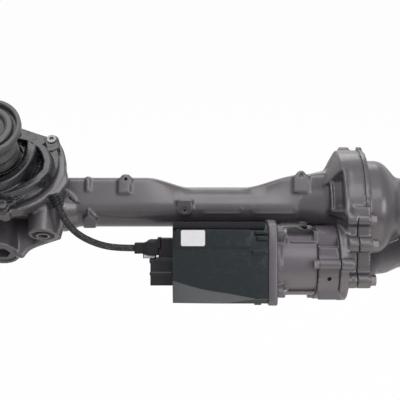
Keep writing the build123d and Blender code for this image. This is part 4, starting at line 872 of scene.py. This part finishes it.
def unitShell(size):
    cover = meshOf("unit_cover_shell", [prism(unitLine, unitOutline(size), size["start"], size["end"])])
    side, foot = size["half"], size["facetFoot"]
    wedge = []
    for x, edge in size["facet"]:
        depth = (edge - foot) * size["facetSlope"]
        wedge.append([unitLine @ Vector((a, b, x)) for a, b in
                      ((-side - 0.05, edge), (-side - 6, edge), (-side - 6, foot), (-side + depth, foot))])
    carved(cover, [loft(wedge)])
    bevelled(cover, size["edge"], 4, 20)
    finished(cover, "unit", "housing", ["control_unit_cover"])
    # The face below the curve gets a paler colour, a painted reflection of the pale floor
    cover.data.materials.append(looks["unitPaintedReflection"])
    turn = unitLine.to_3x3()
    away, upwards = turn @ Vector((-1, 0, 0)), turn @ Vector((0, 1, 0))
    for face in cover.data.polygons:
        if face.normal.dot(away) > 0.85 and face.normal.dot(upwards) < -0.15:
            face.material_index = 1


def makeUnit(size):
    unitShell(size)
    away = unitLine.to_3x3() @ Vector((-1, 0, 0))
    frontLine = lineAt(unitLine @ Vector((-size["half"], 0, 0)), (1, 0, 0), away)
    panels = meshOf("unit_panels", [prism(frontLine, *size["panel"])])
    bevelled(panels, size["panelEdge"], 3, 40)
    finished(panels, "unit", "housing")
    ribs = meshOf("unit_ribs", [block(frontLine, *rib) for rib in size["ribs"]])
    bevelled(ribs, size["ribEdge"], 3, 40)
    finished(ribs, "unit", "housing")
    # A dark matte strip along the cover's top edge: painted shade on its top chamfer
    strip = meshOf("unit_top_shade_strip", [prism(unitLine, *size["strip"])])
    bevelled(strip, size["stripEdge"])
    finished(strip, "belt", "housing")
    foot = meshOf("unit_foot", [rod(moved(unitLine, *size["footSpot"], 0), *size["foot"], 32)])
    finished(foot, "plastic", "housing")
    flange = meshOf("unit_flange_ring", [
        prism(unitLine, unitOutline(size, size["flangeGrow"]), size["end"], size["flangeEnd"])])
    bevelled(flange, size["flangeEdge"], 3, 20)
    finished(flange, "motorCast", "housing", ["control_unit_flange"])
    wide, high = size["labelHalf"]
    sheet = softened([(-wide, -high), (wide, -high), (wide, high), (-wide, high)], size["labelCorner"])
    label = meshOf("unit_label", [prism(moved(frontLine, *size["labelSpot"], 0), sheet, *size["labelRun"])])
    finished(label, "label", "housing")


makeUnit(unit)

# Power header, the sensor's plug and the lead's boot. Blocks are given as on the motor
connector = {
    "headerVoxel": 0.6, "plugVoxel": 0.5,
    "headerBands": [(-52.2, -28.5, -12.0, -9.6, -17, 25.9), (-52.4, -49.5, 0.8, 4.6, -17, 25.7),
                    (-44.8, -41.5, 14.6, 26.1, -9, 13.9)],
    # A latch, a rear band, a foot for the tag and two ribs
    "plugBands": [(-55.5, -47, 19.6, 23.2, -4, 4), (-59, -56.6, 8.0, 21.0, -9.2, 9.2), (-60, -46.5, 4.2, 11, -5, 8.3),
                  (-66.6, -65.2, 8.8, 19.4, -6, 6), (-69.4, -68.2, 8.8, 19.4, -6, 6)],
    "tag": [(-59, 5), (-47.4, 4.8), (-47.2, 10), (-58.8, 10.2)], "tagOut": (7.9, 8.7),
}


def makeConnectors(size):
    header = joined([copyOf("header_moulding", "power_header"), meshOf("header_more", blocks(size["headerBands"]))])
    moulded(header, size["headerVoxel"], 2)
    finished(header, "plug", "housing", ["power_header"])
    plug = joined([copyOf("plug_moulding", "sensor_plug"), meshOf("plug_more", blocks(size["plugBands"]))])
    moulded(plug, size["plugVoxel"], 2)
    finished(plug, "plug", "housing", ["sensor_plug"])
    tag = meshOf("plug_tag", [prism(motorFront, softened(size["tag"], 1), *size["tagOut"])])
    finished(tag, "label", "housing")
    boot = copyOf("boot_moulding", "strain_relief")
    moulded(boot, size["plugVoxel"], 1)
    finished(boot, "plug", "housing", ["strain_relief"])


makeConnectors(connector)

# Sensor lead
cable = {
    "radius": 3.6, "length": 101.7,
    "route": [(-146.6, -56.4, 24.4), (-144.3, -57.2, 17.9), (-140.2, -57.6, 9.3), (-131.4, -58.2, -3.4),
              (-118.3, -57.8, -13.2), (-102.5, -52.4, -22.6), (-85.5, -47.75, -27.42), (-69.02, -47.75, -27.42)],
}


def makeCable(size):
    curve = bpy.data.curves.new("sensor_lead", "CURVE")
    curve.dimensions = "3D"
    line = curve.splines.new("NURBS")
    line.points.add(len(size["route"]) - 1)
    for spot, place in zip(line.points, size["route"]):
        spot.co = (*toMetres(place), 1)
    line.order_u = 3
    line.use_endpoint_u = True
    line.resolution_u = 16
    curve.bevel_depth = size["radius"] / 1000
    curve.bevel_resolution = 8
    curve.use_fill_caps = True
    lead = bpy.data.objects.new("sensor_lead", curve)
    bpy.context.collection.objects.link(lead)
    curve.materials.append(looks["sleeve"])
    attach(lead, "housing")
    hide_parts("sensor_cable")
    print("made", lead.name)


makeCable(cable)

# Every other node keeps its solid and gets its finish, by its own name or by its material slot
nodeLook = {
    "cover_bolts": "bolt", "motor_bolts": "bolt", "control_unit_screws": "bolt", "mount_sleeves": "bolt",
    "mount_rubbers": "ring", "yoke_adjuster": "motorCast",
}
slotLook = {
    "cast_housing": "cast", "machined_steel": "machined", "bearing_steel": "polished", "plated_screws": "plated",
    "motor_can": "motorCast", "unit_paint": "unit", "black_plastic": "plastic", "cover_plastic": "cover",
    "soft_rubber": "rubber", "belt_rubber": "belt", "cable_sleeve": "sleeve", "copper": "winding",
    "lamination": "magnet", "board": "board", "bush_bronze": "bronze", "contact_pins": "machined",
}


def dressNodes():
    nodeSlot = {part["node"]: part["material_slot"] for part in frame["record"]["subparts"]}
    for name, node in nodes.items():
        for place in node.material_slots:
            place.material = looks[nodeLook.get(name, slotLook[nodeSlot[name]])]


dressNodes()
print("nodes dressed:", len(nodes))

# Floor, world and lamps
stage = {"floorDrop": 300.0, "floorHalf": 9.0, "worldLight": 0.42, "white": 1.0, "share": 0.97}


def makeStage(size):
    floor = meshOf("floor", [])
    reach = size["floorHalf"]
    level = cadBox[0][2] - size["floorDrop"] / 1000
    floor.data.from_pydata([(-reach, -reach, level), (reach, -reach, level), (reach, reach, level),
                            (-reach, reach, level)], [], [(0, 1, 2, 3)])
    look = newLook("pale_floor")
    grain = look.noise(40.0, 3.0)
    look.set(colour=look.blend(grain, (0.82, 0.82, 0.82), (0.86, 0.86, 0.86)), rough=0.8, specular=0.1)
    seen = look.add("LightPath", output="Is Camera Ray")
    glow = look.add("Emission", {}, {"Color": (1.0, 1.0, 1.0), "Strength": size["white"]})
    plain = Wire(look, look.tree.nodes["Principled BSDF"].outputs[0])
    both = look.add("MixShader", {}, {0: seen * size["share"], 1: plain, 2: glow})
    look.put(look.tree.nodes["Material Output"].inputs["Surface"], both)
    floor.data.materials.append(look.owner)


def makeWorld(size):
    # White to the camera and in reflections, and a soft grey light on everything
    world = bpy.data.worlds.new("studio")
    bpy.context.scene.world = world
    look = Look(world)
    seen, glossy, clear = (look.add("LightPath", output=ray)
                           for ray in ("Is Camera Ray", "Is Glossy Ray", "Is Transmission Ray"))
    through = look.add("Math", {"operation": "MAXIMUM"}, {0: glossy, 1: clear})
    shown = look.add("Math", {"operation": "MAXIMUM"}, {0: seen, 1: through})
    light, white = (look.add("Background", {}, {"Color": (1.0, 1.0, 1.0), "Strength": strength})
                    for strength in (size["worldLight"], size["white"]))
    mix = look.add("MixShader", {}, {0: shown, 1: light, 2: white})
    look.put(look.tree.nodes["World Output"].inputs["Surface"], mix)


lamps = [
    {"name": "key", "spot": (180, -900, 1300), "aim": (40, 0, 0), "size": 900, "power": 7.0, "tint": (1, 1, 1)},
    {"name": "top", "spot": (-160, -60, 1500), "aim": (0, 0, 0), "size": 1000, "power": 8.0, "tint": (1, 1, 1)},
    {"name": "fill", "spot": (900, -1100, 500), "aim": (100, 0, 0), "size": 700, "power": 8.0, "tint": (1, 1, 1)},
    {"name": "back", "spot": (100, 1200, 900), "aim": (0, 0, 0), "size": 900, "power": 5.0, "tint": (1, 1, 1)},
    {"name": "under", "spot": (150, -300, -260), "aim": (100, 0, 0), "size": 500, "power": 0.6,
     "tint": (1.0, 0.92, 0.78)},
]


def makeLamps():
    for lamp in lamps:
        data = bpy.data.lights.new(lamp["name"], "AREA")
        data.shape = "DISK"
        data.size = lamp["size"] / 1000
        data.energy = lamp["power"]
        data.color = lamp["tint"]
        thing = bpy.data.objects.new(lamp["name"], data)
        thing.location = toMetres(lamp["spot"])
        aim = toMetres(lamp["aim"]) - thing.location
        thing.rotation_euler = aim.to_track_quat("-Z", "Y").to_euler()
        bpy.context.collection.objects.link(thing)


makeStage(stage)
makeWorld(stage)
makeLamps()
bpy.context.scene.view_settings.view_transform = "Standard"
print("stage and", len(lamps), "lamps made")
